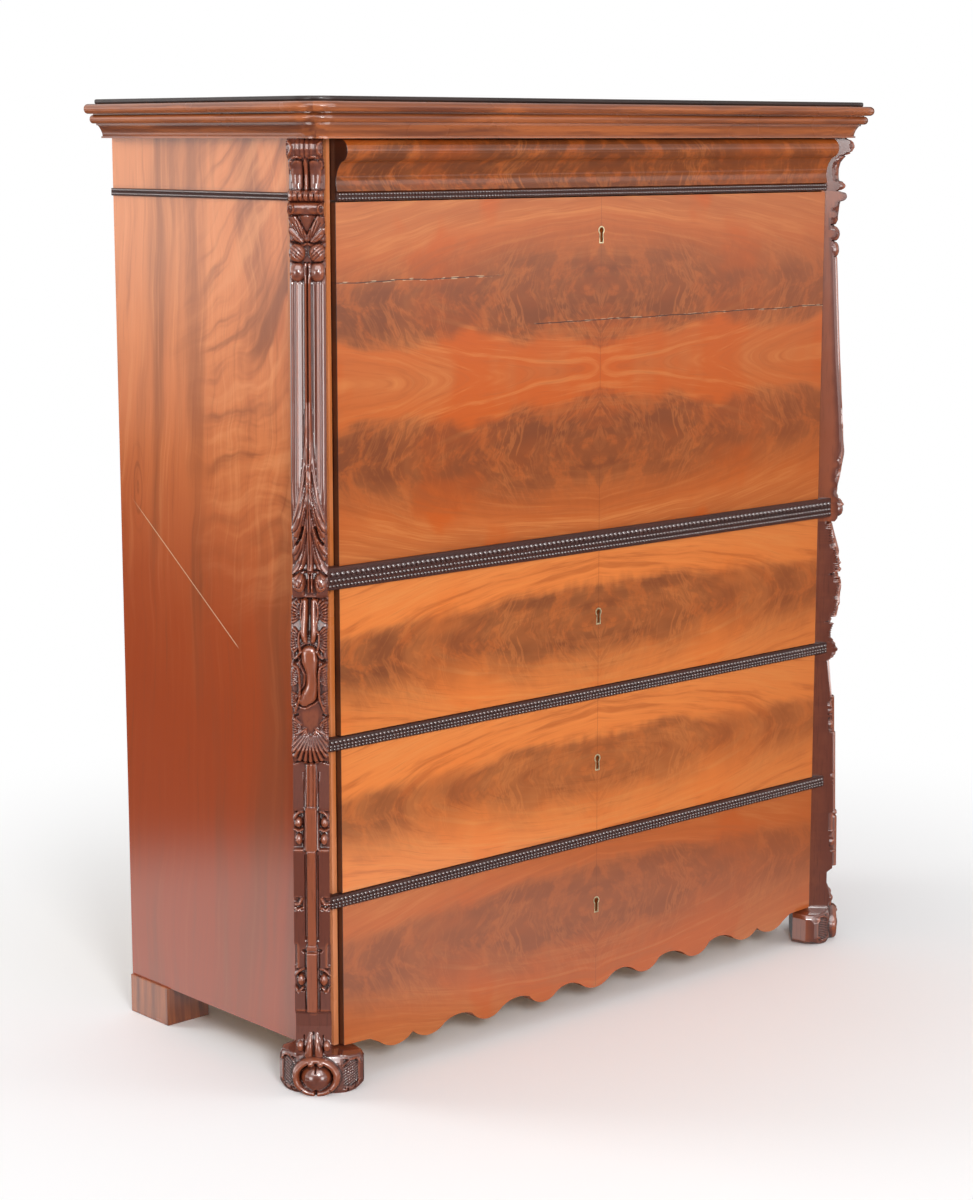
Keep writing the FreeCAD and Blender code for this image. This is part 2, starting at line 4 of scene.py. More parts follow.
import bpy
import numpy as np
from bpy.props import FloatProperty, FloatVectorProperty, IntProperty, PointerProperty
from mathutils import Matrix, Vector

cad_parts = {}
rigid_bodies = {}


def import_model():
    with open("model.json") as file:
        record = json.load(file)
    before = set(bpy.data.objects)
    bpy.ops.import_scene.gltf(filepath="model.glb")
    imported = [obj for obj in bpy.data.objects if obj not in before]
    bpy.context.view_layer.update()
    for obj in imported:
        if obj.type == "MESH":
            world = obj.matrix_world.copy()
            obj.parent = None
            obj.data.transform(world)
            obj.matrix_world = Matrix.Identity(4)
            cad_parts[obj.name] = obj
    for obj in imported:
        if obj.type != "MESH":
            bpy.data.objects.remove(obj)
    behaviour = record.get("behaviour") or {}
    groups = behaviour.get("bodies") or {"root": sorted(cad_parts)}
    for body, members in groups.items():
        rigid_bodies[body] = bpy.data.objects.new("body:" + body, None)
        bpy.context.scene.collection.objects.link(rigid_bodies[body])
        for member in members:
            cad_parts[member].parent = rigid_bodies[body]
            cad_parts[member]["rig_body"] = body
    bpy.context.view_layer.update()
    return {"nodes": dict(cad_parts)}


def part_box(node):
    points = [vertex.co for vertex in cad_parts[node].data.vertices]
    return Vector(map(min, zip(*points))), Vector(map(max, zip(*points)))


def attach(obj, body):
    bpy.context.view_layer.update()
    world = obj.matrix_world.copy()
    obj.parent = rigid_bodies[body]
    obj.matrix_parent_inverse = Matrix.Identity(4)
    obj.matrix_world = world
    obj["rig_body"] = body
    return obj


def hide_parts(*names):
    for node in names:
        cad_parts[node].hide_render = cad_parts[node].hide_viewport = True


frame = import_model()

bl_info = {
    "name": "Fall-front chiffonier",
    "version": (1, 0, 0),
    "blender": (4, 5, 0),
    "location": "3D View > Sidebar > Chiffonier",
    "description": "Veneer, carving, pearl mouldings and fittings of a fall-front chiffonier",
    "category": "Object",
}

MM = 0.001
CANT = 0.026                # canted corner, along the front and along the side
FRONT_EASE = 0.0009         # eased edges of the fronts, the rear feet, the top board and the back's planks
FOOT_EASE = 0.0014
TOP_EASE = 0.0022
PLANK_EASE = 0.0022
PLANK_GAP = 0.0006          # between two planks of the back
WAIST_OUT = 0.0065          # how far the bars of the mouldings stand out: waist, drawers and frieze
BEAD_OUT = 0.0045
FRIEZE_OUT = 0.0038
FRONT_BAR_EASE = 0.0012     # softened edges of those bars, on the front and on the sides
SIDE_BAR_EASE = 0.001
MOULDING_STOP = 0.012       # how far the front mouldings stop short of the outside of the corner posts
PEARL_SUNK = 0.15           # share of a pearl's radius that lies in its bar
BARE_WALL = 0.5             # shade of the plain walls of a carved piece: dark, or as pale as the cornice
PALE_WALL = 2.6
FLOOR_SIZE = 60.0
DULL_PINE = {"rough": 0.6, "coat": 0.0, "spread": 40.0}


def colour(name, description, red, green, blue):
    return FloatVectorProperty(
        name=name, description=description, default=(red, green, blue), subtype="COLOR", min=0, max=1)


class ChiffonierColours(bpy.types.PropertyGroup):
    """Colours of the woods and metals."""

    veneer: colour("Veneer", "Light ground of the flame veneer", 0.460, 0.132, 0.030)
    veneer_red: colour("Veneer red", "Redder parts of the flame veneer", 0.340, 0.076, 0.012)
    veneer_deep: colour("Veneer deep", "Deep orange beside the flame figure", 0.455, 0.074, 0.002)
    veneer_gold: colour("Veneer gold", "Golden light of the drawer fronts", 0.760, 0.235, 0.050)
    veneer_dark: colour("Veneer dark", "Dark heart of the flame figure", 0.135, 0.034, 0.009)
    veneer_pale: colour("Veneer pale", "Pale streaks of the flame figure", 0.62, 0.235, 0.062)
    veneer_chip: colour("Veneer chip", "Bare wood where the veneer is chipped", 0.62, 0.43, 0.26)
    # painted light: side, the ground higher up, is paler than side_low, partly as the wood's own tone and
    # partly as painted light and reflection
    side: colour("Side", "Ground of the side veneer higher up", 0.58, 0.172, 0.052)
    side_low: colour("Side low", "Ground of the side veneer lower down", 0.291, 0.040, 0.003)
    side_dark: colour("Side dark", "Dark streaks of the side veneer", 0.175, 0.043, 0.011)
    side_pale: colour("Side pale", "Pale streaks of the side veneer", 0.70, 0.26, 0.095)
    moulded: colour("Moulded", "Solid mahogany of the cornice", 0.38, 0.105, 0.028)
    moulded_dark: colour("Moulded dark", "Grain of the solid mahogany", 0.13, 0.033, 0.013)
    # painted light: the post colour is paler than the wood, standing in for light and reflection on strips
    # that lie in the pilasters' shadow
    post: colour("Post", "Light strips beside the carving", 0.64, 0.24, 0.105)
    carved: colour("Carved", "Carved mahogany", 0.122, 0.031, 0.018)
    carved_worn: colour("Carved worn", "Worn ridges of the carving", 0.27, 0.068, 0.026)
    # painted shade: this near-black darkens the hollows of the carving, standing in for the shade there; it
    # is also the colour of cracks, pores, the dark pearls and the darkened ends of the fronts
    near_black_and_painted_shade: colour("Carved hollow", "Old polish in the hollows of the carving", 0.022, 0.008, 0.007)
    top: colour("Top", "Dark top board", 0.03, 0.016, 0.013)
    pine: colour("Pine", "Ground of the pine inside", 0.56, 0.37, 0.19)
    pine_dark: colour("Pine dark", "Late wood of the pine inside", 0.36, 0.20, 0.085)
    brass: colour("Brass", "Keyhole rims", 0.95, 0.80, 0.50)
    iron: colour("Iron", "Locks and pivots", 0.20, 0.19, 0.18)
    floor: colour("Floor", "Studio floor", 0.93, 0.93, 0.935)


class ChiffonierSizes(bpy.types.PropertyGroup):
    """Sizes of the carving and the mouldings."""

    carving_pitch: FloatProperty(
        name="Carving pitch", description="Spacing of the points of a carved face", default=0.0009,
        min=0.0004, unit="LENGTH")
    back_boards: IntProperty(
        name="Back boards", description="Number of planks across the back", default=7, min=3, max=12)
    pearl_pitch: FloatProperty(
        name="Pearl pitch", description="Spacing of the pearls of the waist moulding", default=0.0092,
        min=0.004, unit="LENGTH")


class ChiffonierStage(bpy.types.PropertyGroup):
    """Camera and light of the studio."""

    camera_x: FloatProperty(name="Camera X", description="Camera place", default=-2.7408, unit="LENGTH")
    camera_y: FloatProperty(name="Camera Y", description="Camera place", default=-2.9864, unit="LENGTH")
    camera_z: FloatProperty(name="Camera Z", description="Camera place", default=1.3476, unit="LENGTH")
    camera_tilt: FloatProperty(
        name="Tilt", description="Camera below the horizon", default=math.radians(10.148), subtype="ANGLE")
    camera_turn: FloatProperty(
        name="Turn", description="Camera to the right of straight on", default=math.radians(42.108),
        subtype="ANGLE")
    lens: FloatProperty(name="Lens", description="Focal length in millimetres", default=77.83, min=1)
    sky: FloatProperty(name="Room light", description="Light from all round", default=0.62, min=0)
    key: FloatProperty(name="Key light", description="Lamp on the left", default=90, subtype="POWER")
    fill: FloatProperty(name="Fill light", description="Lamp on the right", default=36, subtype="POWER")
    side: FloatProperty(name="Side light", description="Lamp behind, left", default=36, subtype="POWER")


# Finishes

class Value:
    """Number in a node tree, to reckon with like any other number."""

    def __init__(self, nodes, socket):
        self.nodes = nodes
        self.socket = socket

    def __add__(self, other):
        return self.nodes.math("ADD", self, other)

    def __sub__(self, other):
        return self.nodes.math("SUBTRACT", self, other)

    def __rsub__(self, other):
        return self.nodes.math("SUBTRACT", other, self)

    def __mul__(self, other):
        return self.nodes.math("MULTIPLY", self, other)

    def __truediv__(self, other):
        return self.nodes.math("DIVIDE", self, other)

    def __pow__(self, other):
        return self.nodes.math("POWER", self, other)

    def __rpow__(self, other):
        return self.nodes.math("POWER", other, self)

    def __abs__(self):
        return self.nodes.math("ABSOLUTE", self)


class Nodes:
    """Node tree that is built from its values to its results."""

    def __init__(self, tree):
        self.tree = tree

    def put(self, socket, value):
        if isinstance(value, Value):
            value = value.socket
        if isinstance(value, bpy.types.NodeSocket):
            self.tree.links.new(value, socket)
        elif hasattr(value, "__len__"):
            socket.default_value = (*value, 1.0)[:len(socket.default_value)]
        else:
            socket.default_value = value

    def node(self, kind, *inputs, **settings):
        made = self.tree.nodes.new("ShaderNode" + kind)
        for key, value in settings.items():
            setattr(made, key, value)
        for socket, value in zip(made.inputs, inputs):
            if value is not None:
                self.put(socket, value)
        return made

    def values(self, sockets):
        return [Value(self, socket) for socket in sockets]

    def math(self, operation, *values):
        return Value(self, self.node("Math", *values, operation=operation).outputs[0])

    def vector(self, x, y, z):
        return self.node("CombineXYZ", x, y, z).outputs[0]

    def noise(self, vector, scale, detail=2.0, rough=0.5, twist=0.0):
        """Noise about zero."""
        made = self.node("TexNoise")
        settings = {
            "Vector": vector, "Scale": scale, "Detail": detail, "Roughness": rough, "Distortion": twist}
        for key, value in settings.items():
            self.put(made.inputs[key], value)
        return Value(self, made.outputs["Fac"]) - 0.5

    def grain(self, x, y, z, detail=3, rough=0.5, twist=0.0):
        """Noise about zero, at coordinates that are scaled one by one."""
        return self.noise(self.vector(x, y, z), 1.0, detail, rough, twist)

    def step(self, value, low, high):
        """Smooth step of a value from 0 at low to 1 at high."""
        made = self.node("MapRange", value, low, high, 0.0, 1.0, interpolation_type="SMOOTHSTEP")
        return Value(self, made.outputs[0])

    def over(self, base, *layers):
        """Tints laid over a base in turn, each given as (tint, share)."""
        for tint, share in layers:
            made = self.node("Mix", data_type="RGBA")
            self.put(made.inputs["Factor"], share)
            self.put(made.inputs[6], base)
            self.put(made.inputs[7], tint)
            base = made.outputs[2]
        return base

    def levels(self, value, *stops):
        """Value between levels that are set at rising stops, from 0 to 1."""
        made = self.node("ValToRGB", value)
        made.color_ramp.interpolation = "EASE"
        ends = made.color_ramp.elements
        while len(ends) < len(stops):
            ends.new(0.5)
        for end, (stop, level) in zip(ends, stops):
            end.position = stop
            end.color = (level, level, level, 1.0)
        return Value(self, made.outputs[0])


class Finish(Nodes):
    """One finish, from the coordinates of its piece to its shader."""

    def __init__(self, name):
        self.material = bpy.data.materials.new(name)
        self.material.use_nodes = True
        super().__init__(self.material.node_tree)
        self.shader = self.tree.nodes["Principled BSDF"]
        self.place = self.node("TexCoord").outputs["Object"]
        self.x, self.y, self.z = self.values(self.node("SeparateXYZ", self.place).outputs)

    def bump(self, height, strength, distance):
        made = self.node("Bump")
        made.inputs["Strength"].default_value = strength
        made.inputs["Distance"].default_value = distance
        self.put(made.inputs["Height"], height)
        self.put(self.shader.inputs["Normal"], made.outputs["Normal"])

    def polish(self, base, rough, coat=0.0, coat_rough=0.1, metal=0.0, level=0.26):
        self.put(self.shader.inputs["Base Color"], base)
        self.put(self.shader.inputs["Roughness"], rough)
        self.shader.inputs["Specular IOR Level"].default_value = level
        self.shader.inputs["Coat Weight"].default_value = coat
        self.shader.inputs["Coat Roughness"].default_value = coat_rough
        self.shader.inputs["Metallic"].default_value = metal
        return self.material


def flame_veneer(
        name, colours, heart_z, heart_half, fold=0.0, depth=1.0, ruddy=0.0, gold=0.0, hazy=-1.0, seams=()):
    """Book-matched flame mahogany: a dark heart along x, and streaks that close around it in long flat rings.

    With a fold, two hearts lie that far above and below heart_z, and the figure is also matched about it.
    One edge of a heart is crisp, the other hazy: the upper one for 1, the lower one for -1. A seam is a
    crack: its height, its ends along x, and how far it is chipped.
    """
    f = Finish(name)
    wander = f.noise(f.place, 2.3, 3)
    across = abs(f.x + wander * 0.012)
    rise = f.z - heart_z
    if fold:
        bent = rise + wander * 0.035
        rise = f.math("SQRT", bent * bent + 0.0003) - fold
    half = f.vector(across, rise, wander * 0.4)
    drift = f.noise(half, 3.4, 2)
    flat = across * 0.15
    ring = f.math("SQRT", flat * flat + rise * rise) + across ** 0.8 * 0.055 + drift * 0.040
    broad = f.grain(ring * 30.0, across * 1.8, rise * 2.0, 3, 0.55)
    strands = f.grain(ring * 75.0, across * 4.0, rise * 5.0, 4, 0.65, 0.4)
    fine = f.grain(ring * 240.0, across * 5.0, rise * 9.0, 3, 0.65)
    hair = f.grain(ring * 560.0, across * 12.0, rise * 24.0, 2, 0.6)

    ragged = f.grain(across * 9.0, rise * 5.0, 0.0, 3, 0.55)
    licks = f.grain(ring * 110.0, across * 9.0, 2.0, 3, 0.55)
    tips = f.grain(across * 46.0, rise * 6.0, 4.0, 2)
    middle = 2.718 ** (across * across * -45.0)
    reach = (middle * 0.30 + 0.90) * heart_half
    inside = reach - abs(rise + drift * 0.045) + ragged * 0.050 + licks * 0.024 + tips * middle * 0.030
    soft = f.step(rise * hazy, -0.02, 0.03) * 0.036 + 0.011
    heart = f.step(inside / soft, -1.0, 1.0)
    halo = f.step(inside, -0.070, -0.004) * (1.0 - heart)

    patch = f.noise(half, 5.2, 3, 0.6)
    ground = f.over(
        colours.veneer_red,
        (colours.veneer, f.step(broad, -0.26, 0.16)),
        (colours.veneer_pale, f.step(fine, 0.0, 0.20) * 0.40),
        (colours.veneer_red, f.step(fine, -0.02, -0.20) * 0.42),
        (colours.veneer_deep, f.step(patch, 0.0, 0.13) * 0.9),
        (colours.veneer_deep, halo * 0.55),
        (colours.veneer_gold, gold),
        (colours.veneer_red, f.step(strands, 0.0, -0.18) * 0.60),
        (colours.veneer_pale, f.step(strands, 0.03, 0.20) * 0.38))

    bend = f.grain(across * 7.0, rise * 9.0, 7.0, 2)
    feather = across + abs(rise) * 0.5 + bend * 0.05
    lines = f.grain(feather * 52.0, rise * 15.0, 1.7, 3, 0.6, 0.6)
    line = f.step(abs(lines), 0.055, 0.0) * f.step(ragged, -0.12, 0.16)
    mottle = f.grain(feather * 26.0, rise * 24.0, 8.0, 4, 0.7, 0.5)
    dark = f.over(
        colours.veneer_dark,
        (colours.veneer_red, f.step(mottle, -0.04, 0.16) * 0.75),
        (colours.veneer, line * 0.45))

    cloud = f.grain(across * 5.0, rise * 11.0, 3.0, 3, 0.6)
    veiled = broad * 0.5 + cloud * 1.3 + 0.80
    off = abs(f.x)
    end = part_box("fall_front")[1].x
    base = f.over(
        ground,
        (dark, heart * veiled * depth),
        (colours.veneer_dark, f.step(hair, 0.04, 0.30) * 0.26),
        (colours.veneer_red, ruddy),
        # painted shade: each front turns redder and darker towards its right end, standing in for the light
        # that falls off to the right
        (colours.veneer_red, f.step(f.x, -0.05, 0.55) * 0.26),
        (colours.veneer_dark, f.step(off, 0.0009, 0.0002) * 0.45),
        (colours.near_black_and_painted_shade, f.step(off, end - 0.0012, end - 0.0004) * 0.88))
    height = fine * 0.4 + hair
    for z, x0, x1, chip in seams:
        waver = f.grain(f.x * 14.0, 0.0, z)
        away = abs(f.z - z + waver * -0.006)
        span = f.step(f.x, x0, x0 + 0.01) * f.step(f.x, x1, x1 - 0.12)
        crack = f.step(away, 0.0011, 0.0003) * span
        flake = f.grain(f.x * 60.0, f.z * 200.0, 0.0, 2)
        base = f.over(
            base,
            (colours.veneer_chip, f.step(away, 0.0022, 0.0008) * f.step(flake, 0.02, 0.14) * span * chip),
            (colours.near_black_and_painted_shade, crack * 0.9))
        height = height - crack * 3.0
    f.bump(height, strength=0.06, distance=0.0006)
    smear = f.noise(f.place, 6.0, 4)
    return f.polish(base, smear * 0.14 + 0.32, coat=0.75, coat_rough=0.07, level=0.08)


def side_veneer(name, colours, scratched):
    """Upright mahogany veneer: soft streaks, a curly part towards the front, a knot near the back, and a
    paler top that is partly painted light.
    """
    f = Finish(name)
    slow = f.noise(f.vector(f.y * 1.2, 0.0, f.z * 0.8), 2.6, 2)
    wave = f.grain(f.y * 5.5, 0.0, f.z * 5.0)
    ripple = f.grain(f.y * 13.0, 0.0, f.z * 7.0)
    curly = f.step(f.z, 0.58, 0.95) * f.step(f.y + ripple * 0.22, 0.12, -0.06)
    # painted light: high goes from 0 lower down to 1 higher up; with it the ground turns from side_low to the
    # paler side and the pale streaks grow stronger, partly the wood's tone and partly painted light and
    # reflection
    high = f.step(f.z + slow * 0.35 + f.y * -0.3, 0.48, 1.08)
    across = f.y + f.z * 0.05 + (slow * 0.10 + ripple * 0.022 + wave * curly * 0.11)
    broad = f.grain(across * 12.0, 0.0, f.z * 1.1)
    fine = f.grain(across * 70.0, 0.0, f.z * 3.0, 3, 0.6)
    hair = f.grain(across * 420.0, 0.0, f.z * 9.0, 2, 0.6)
    cloud = f.grain(across * 6.0, 0.0, f.z * 2.6, 3, 0.55)
    lean = f.y * (f.step(f.z, 0.92, 1.25) * 0.9 + 0.2)
    swing = f.z + wave * 0.12 + ripple * 0.016 + lean
    flick = f.grain(f.y * 5.0, 0.0, swing * 32.0, 3, 0.55)
    knot_y = (f.y - 0.221) * 95.0
    knot_z = (f.z - 0.83) * 26.0
    knot = f.math("SQRT", knot_y * knot_y + knot_z * knot_z) + wave * 0.8
    eye = f.step(f.math("SINE", knot * 8.0), 0.2, 1.0) * f.step(knot, 2.3, 0.6)
    base = f.over(
        colours.side_low,
        (colours.side, high),
        (colours.side_low, f.step(cloud, 0.02, -0.20) * (high * -0.3 + 0.65)),
        # painted light: a pale patch at the top middle of the side stands in for light and reflection there
        (colours.side_pale, f.step(f.z, 0.95, 1.25) * f.step(f.y, -0.12, 0.12) * 0.55),
        (colours.side_dark, f.step(broad, 0.03, -0.17) * 0.62),
        (colours.side_pale, f.step(fine, 0.0, 0.24) * (high * 0.49 + 0.03)),
        (colours.side_dark, f.step(fine, -0.03, -0.24) * 0.36),
        (colours.side_pale, f.step(flick, -0.02, 0.20) * curly * 0.55),
        (colours.side_dark, f.step(flick, 0.02, -0.20) * curly * 0.75),
        (colours.side_dark, f.step(hair, 0.02, 0.28) * 0.26),
        (colours.side_dark, eye * 0.45))
    if scratched:
        from_y, from_z = f.y - 0.2425, f.z - 0.8157
        along = from_y * -0.806 + from_z * -0.5915
        gap = abs(from_y * 0.5915 - from_z * 0.806 + hair * 0.0012)
        scratch = f.step(gap, 0.0012, 0.0003) * f.step(along, 0.0, 0.06) * f.step(along, 0.334, 0.32)
        base = f.over(base, (colours.veneer_chip, scratch * 0.75))
    f.bump(fine * 0.4 + hair, strength=0.06, distance=0.0006)
    smear = f.noise(f.place, 5.0, 4)
    return f.polish(base, smear * 0.12 + 0.32, coat=0.75, coat_rough=0.07, level=0.08)


def solid_wood(name, ground, dark, axis, rough=0.26, coat=0.5, spread=60.0, board=0.0):
    """Straight-grained solid wood, with its grain along the axis named 'x', 'y' or 'z'.

    With a board width, each board across x has its own grain.
    """
    f = Finish(name)
    others = {"x": f.x, "y": f.y, "z": f.z}
    along = others.pop(axis)
    if board:
        along = along + f.math("FLOOR", f.x * (1.0 / board) + 0.5) * 3.7
    sway = f.noise(f.vector(along * 3.0, *others.values()), 1.6, 2) * 0.02
    a, b = (other + sway for other in others.values())
    broad = f.grain(a * spread, b * spread, along * 2.0, 3, 0.6)
    pores = f.grain(a * (spread * 9), b * (spread * 9), along * 26.0, 2, 0.6)
    base = f.over(dark, (ground, f.step(broad, -0.22, 0.2)), (dark, f.step(pores, 0.04, 0.26) * 0.45))
    f.bump(pores, strength=0.12, distance=0.0005)
    smear = f.noise(f.place, 9.0, 3)
    return f.polish(base, smear * 0.14 + rough, coat, coat_rough=0.05)


def carved_wood(name, colours, rough=0.20, coat=0.6):
    """Dark polished carving: worn paler on its ridges, darkened to near black in its hollows as painted
    shade, pale where its stored relief value is high.
    """
    f = Finish(name)
    stand = Value(f, f.node("Attribute", attribute_name="relief").outputs["Fac"])
    patch = f.noise(f.place, 34.0, 4, 0.6)
    pores = f.grain(f.x * 420.0, f.y * 420.0, f.z * 24.0, 2, 0.6)
    shade = stand + patch * 0.5
    base = f.over(
        colours.carved,
        (colours.carved_worn, f.step(shade, 0.0, 0.75) * 0.8),
        # painted shade: points that lie below their surroundings are darkened towards near black, standing in
        # for the shade in the hollows; the dark pearls take their own dark colour from the same mix
        (colours.near_black_and_painted_shade, f.step(shade, -0.30, -1.1) * 0.8),
        (colours.moulded, f.step(shade, 1.7, PALE_WALL)),
        (colours.near_black_and_painted_shade, f.step(pores, 0.02, 0.26) * 0.30))
    f.bump(pores + patch * 0.6, strength=0.07, distance=0.0005)
    return f.polish(base, patch * 0.10 + rough, coat, coat_rough=0.05, level=0.5)


def floor_finish(name, tint):
    """Pale seamless paper that fades into the white of the room away from the object."""
    f = Finish(name)
    cloud = f.noise(f.place, 1.5, 2)
    base = f.over(tint, ([c * 1.02 for c in tint], f.step(cloud, -0.5, 0.5)))
    f.polish(base, 0.6)
    away = f.math("SQRT", f.x * f.x + f.y * f.y)
    ray = f.node("LightPath").outputs
    white = f.node("Emission", (1.0, 1.0, 1.0), 1.0).outputs[0]
    share = f.step(away, 0.5, 1.8) * ray["Is Camera Ray"]
    fade = f.node("MixShader", share, f.shader.outputs[0], white).outputs[0]
    reflected = f.math("MAXIMUM", ray["Is Glossy Ray"], ray["Is Transmission Ray"])
    room = f.node("BsdfTransparent").outputs[0]
    surface = f.node("MixShader", reflected, fade, room).outputs[0]
    f.put(f.tree.nodes["Material Output"].inputs["Surface"], surface)
    return f.material


def metal(name, tint, rough):
    """Old metal with a blotchy polish."""
    f = Finish(name)
    blotch = f.noise(f.place, 160.0, 4, 0.65)
    base = f.over(tint, ([c * 0.45 for c in tint], f.step(blotch, -0.1, 0.25)))
    f.bump(blotch, strength=0.15, distance=0.0004)
    return f.polish(base, blotch * 0.3 + rough, metal=1.0)


def wear(node, finish):
    """Give a node or a piece its finish."""
    piece = frame["nodes"][node] if isinstance(node, str) else node
    piece.data.materials.clear()
    piece.data.materials.append(finish)


# Carving

def curved(points, steps=6):
    """Smooth line through points, as an array of points."""
    knots = np.array(points, float)
    if len(knots) == 2:
        return knots
    ends = np.vstack([2 * knots[0] - knots[1], knots, 2 * knots[-1] - knots[-2]])
    line = []
    for a, b, c, d in zip(ends, ends[1:], ends[2:], ends[3:]):
        for t in np.arange(steps) / steps:
            line.append(b + 0.5 * t * (c - a + t * (2 * a - 5 * b + 4 * c - d + t * (3 * (b - c) + d - a))))
    return np.array(line + [knots[-1]])


def ramp(values, low, high):
    """Smooth step of an array from 0 at low to 1 at high."""
    share = np.clip((values - low) / (high - low), 0, 1)
    return share * share * (3 - 2 * share)


class Relief:
    """Carved face on a grid across and up, in millimetres. It faces forward, and d is its relief.

    The carver's cuts work on this grid: raised and domed forms grow from the ground, cuts go into it. A form
    is given by its distance from the middle, so each has its twin, unless it is said to be single.
    """

    def __init__(self, left, right, low, high, pitch):
        self.columns = round((right - left) / pitch)
        self.rows = round((high - low) / pitch)
        self.s, self.z = np.meshgrid(
            np.linspace(left, right, self.columns + 1), np.linspace(low, high, self.rows + 1))
        self.side = self.s - (left + right) / 2
        self.off = np.abs(self.side)
        self.d = np.zeros_like(self.s)
        self.ground = self.d
        self.rubbed = np.zeros_like(self.s)

    def section(self, *points):
        """Ground that follows (height, relief) points from the foot up."""
        heights, reliefs = zip(*points)
        self.d = np.interp(self.z, heights, reliefs)

    def settle(self):
        """What is carved so far becomes the ground."""
        self.ground = self.d.copy()

    def near(self, points, single):
        """Distance of each grid point to a curve, and its place along the curve from 0 to 1."""
        across = self.side if single else self.off
        line = curved(points)
        gap = np.full(across.shape, 1e6)
        place = np.zeros(across.shape)
        for i, (a, b) in enumerate(zip(line, line[1:])):
            run = b - a
            t = np.clip(((across - a[0]) * run[0] + (self.z - a[1]) * run[1]) / max(run @ run, 1e-9), 0, 1)
            away = np.hypot(across - a[0] - t * run[0], self.z - a[1] - t * run[1])
            nearer = away < gap
            gap = np.where(nearer, away, gap)
            place = np.where(nearer, (i + t) / (len(line) - 1), place)
        return gap, place

    def spread(self, points, taper, single):
        """Distance of each grid point to a curve, and the size of the curve's taper there."""
        gap, place = self.near(points, single)
        return gap, np.interp(place, np.linspace(0, 1, len(taper)), taper)

    def share(self, width, points, taper, single):
        """Distance to a curve as a share of its width there, and the size of its taper."""
        gap, size = self.spread(points, taper, single)
        return np.clip(gap / (width * size), 0, 1), size

    def raised(self, width, height, *points, taper=(1, 1), single=False):
        """Rounded form along a curve."""
        share, size = self.share(width, points, taper, single)
        lifted = self.ground + height * size * np.sqrt(1 - share ** 2)
        self.d = np.where(share < 1, np.maximum(self.d, lifted), self.d)

    def cut(self, width, depth, *points, taper=(1, 1), single=False):
        """Groove along a curve."""
        share, size = self.share(width, points, taper, single)
        self.d = self.d - depth * size * (1 - share ** 2) ** 1.5

    def domed(self, across, up, half_width, half_height, height, single=False):
        """Rounded knob on the ground."""
        off = self.side if single else self.off
        share = np.hypot((off - across) / half_width, (self.z - up) / half_height)
        lifted = self.ground + height * np.sqrt(np.clip(1 - share ** 2, 0, 1))
        self.d = np.where(share < 1, np.maximum(self.d, lifted), self.d)

    def ring(self, across, up, half_width, half_height, width, height, single=False):
        turn = np.linspace(0, 2 * math.pi, 33)
        points = np.column_stack([across + half_width * np.cos(turn), up + half_height * np.sin(turn)])
        self.raised(width, height, *points, single=single)

    def lipped(self, width, line, height, *points, taper=(1, 1), single=False):
        """Thin raised lip on both sides of a curve, its width away."""
        gap, size = self.spread(points, taper, single)
        self.d = self.d + height * np.clip(1 - ((gap - width * size) / line) ** 2, 0, 1)

    def fan(self, across, up, first, last, count, reach, width, height):
        """Fingers of shell work that spread from a point, between two angles up from straight out."""
        for turn in np.radians(np.linspace(first, last, count)):
            out, rise = math.cos(turn), math.sin(turn)
            root = (across + 0.34 * reach * out, up + 0.34 * reach * rise)
            bend = (across + 0.70 * reach * out, up + 0.76 * reach * rise)
            tip = (across + reach * out, up + reach * rise)
            self.raised(width, height, root, bend, tip, taper=(0.45, 0.85, 1.0))

    def sunk(self, depth, inner, outer, low, high, soft=3.5):
        """Flat recess between two distances from the middle and two heights."""
        across = ramp(self.off, inner - soft, inner) * ramp(-self.off, -outer - soft, -outer)
        up = ramp(self.z, low - soft, low) * ramp(-self.z, -high - soft, -high)
        self.d = self.d - depth * across * up

    def hollows(self, reach):
        """How far each point stands out from what surrounds it, about 1 on a ridge and -1 in a hollow."""
        wide = self.d
        kernel = np.ones(2 * reach + 1) / (2 * reach + 1)
        for axis in (0, 1, 0, 1):
            padded = np.pad(wide, [(reach, reach) if i == axis else (0, 0) for i in (0, 1)], mode="edge")
            wide = np.apply_along_axis(lambda row: np.convolve(row, kernel, "valid"), axis, padded)
        rim = ramp(self.off.max() - self.off, 0, 4)
        return np.clip((self.d - wide) / 2.0, -1, 1) * rim + self.rubbed


def deselect():
    """Leave edit mode and select nothing."""
    if bpy.context.object and bpy.context.object.mode != "OBJECT":
        bpy.ops.object.mode_set(mode="OBJECT")
    bpy.ops.object.select_all(action="DESELECT")


def pick(*pieces):
    """Select pieces alone, with the first one active."""
    deselect()
    for piece in pieces:
        piece.select_set(True)
    bpy.context.view_layer.objects.active = pieces[0]


def apply_place():
    """Put the place, the turn and the scale of the selected piece into its mesh."""
    bpy.ops.object.transform_apply(location=True, rotation=True, scale=True)


def edit_all():
    """Edit the active piece, with all of it selected."""
    bpy.ops.object.mode_set(mode="EDIT")
    bpy.ops.mesh.select_all(action="SELECT")


def repeated(piece, step, count):
    """Let a piece become a row of itself, one step apart."""
    copies = piece.modifiers.new("copies", "ARRAY")
    copies.use_relative_offset = False
    copies.use_constant_offset = True
    copies.constant_offset_displace = step
    copies.count = count
    bpy.ops.object.modifier_apply(modifier="copies")


def soft_box(name, low, high, soft, segments):
    """Box between two corners, with its edges softened."""
    deselect()
    low, high = Vector(low), Vector(high)
    bpy.ops.mesh.primitive_cube_add(size=1, location=(low + high) / 2, scale=high - low)
    box = bpy.context.object
    box.name = name
    apply_place()
    edit_all()
    bpy.ops.mesh.bevel(offset=soft, segments=segments, affect="EDGES")
    bpy.ops.object.mode_set(mode="OBJECT")
    return box


def tint(piece, values):
    """Store how far each vertex of a carved piece stands out, for its finish, which paints shade into the low
    points.
    """
    shade = piece.data.attributes.new("relief", "FLOAT", "POINT")
    shade.data.foreach_set("value", np.broadcast_to(values, len(piece.data.vertices)).astype(np.float32))


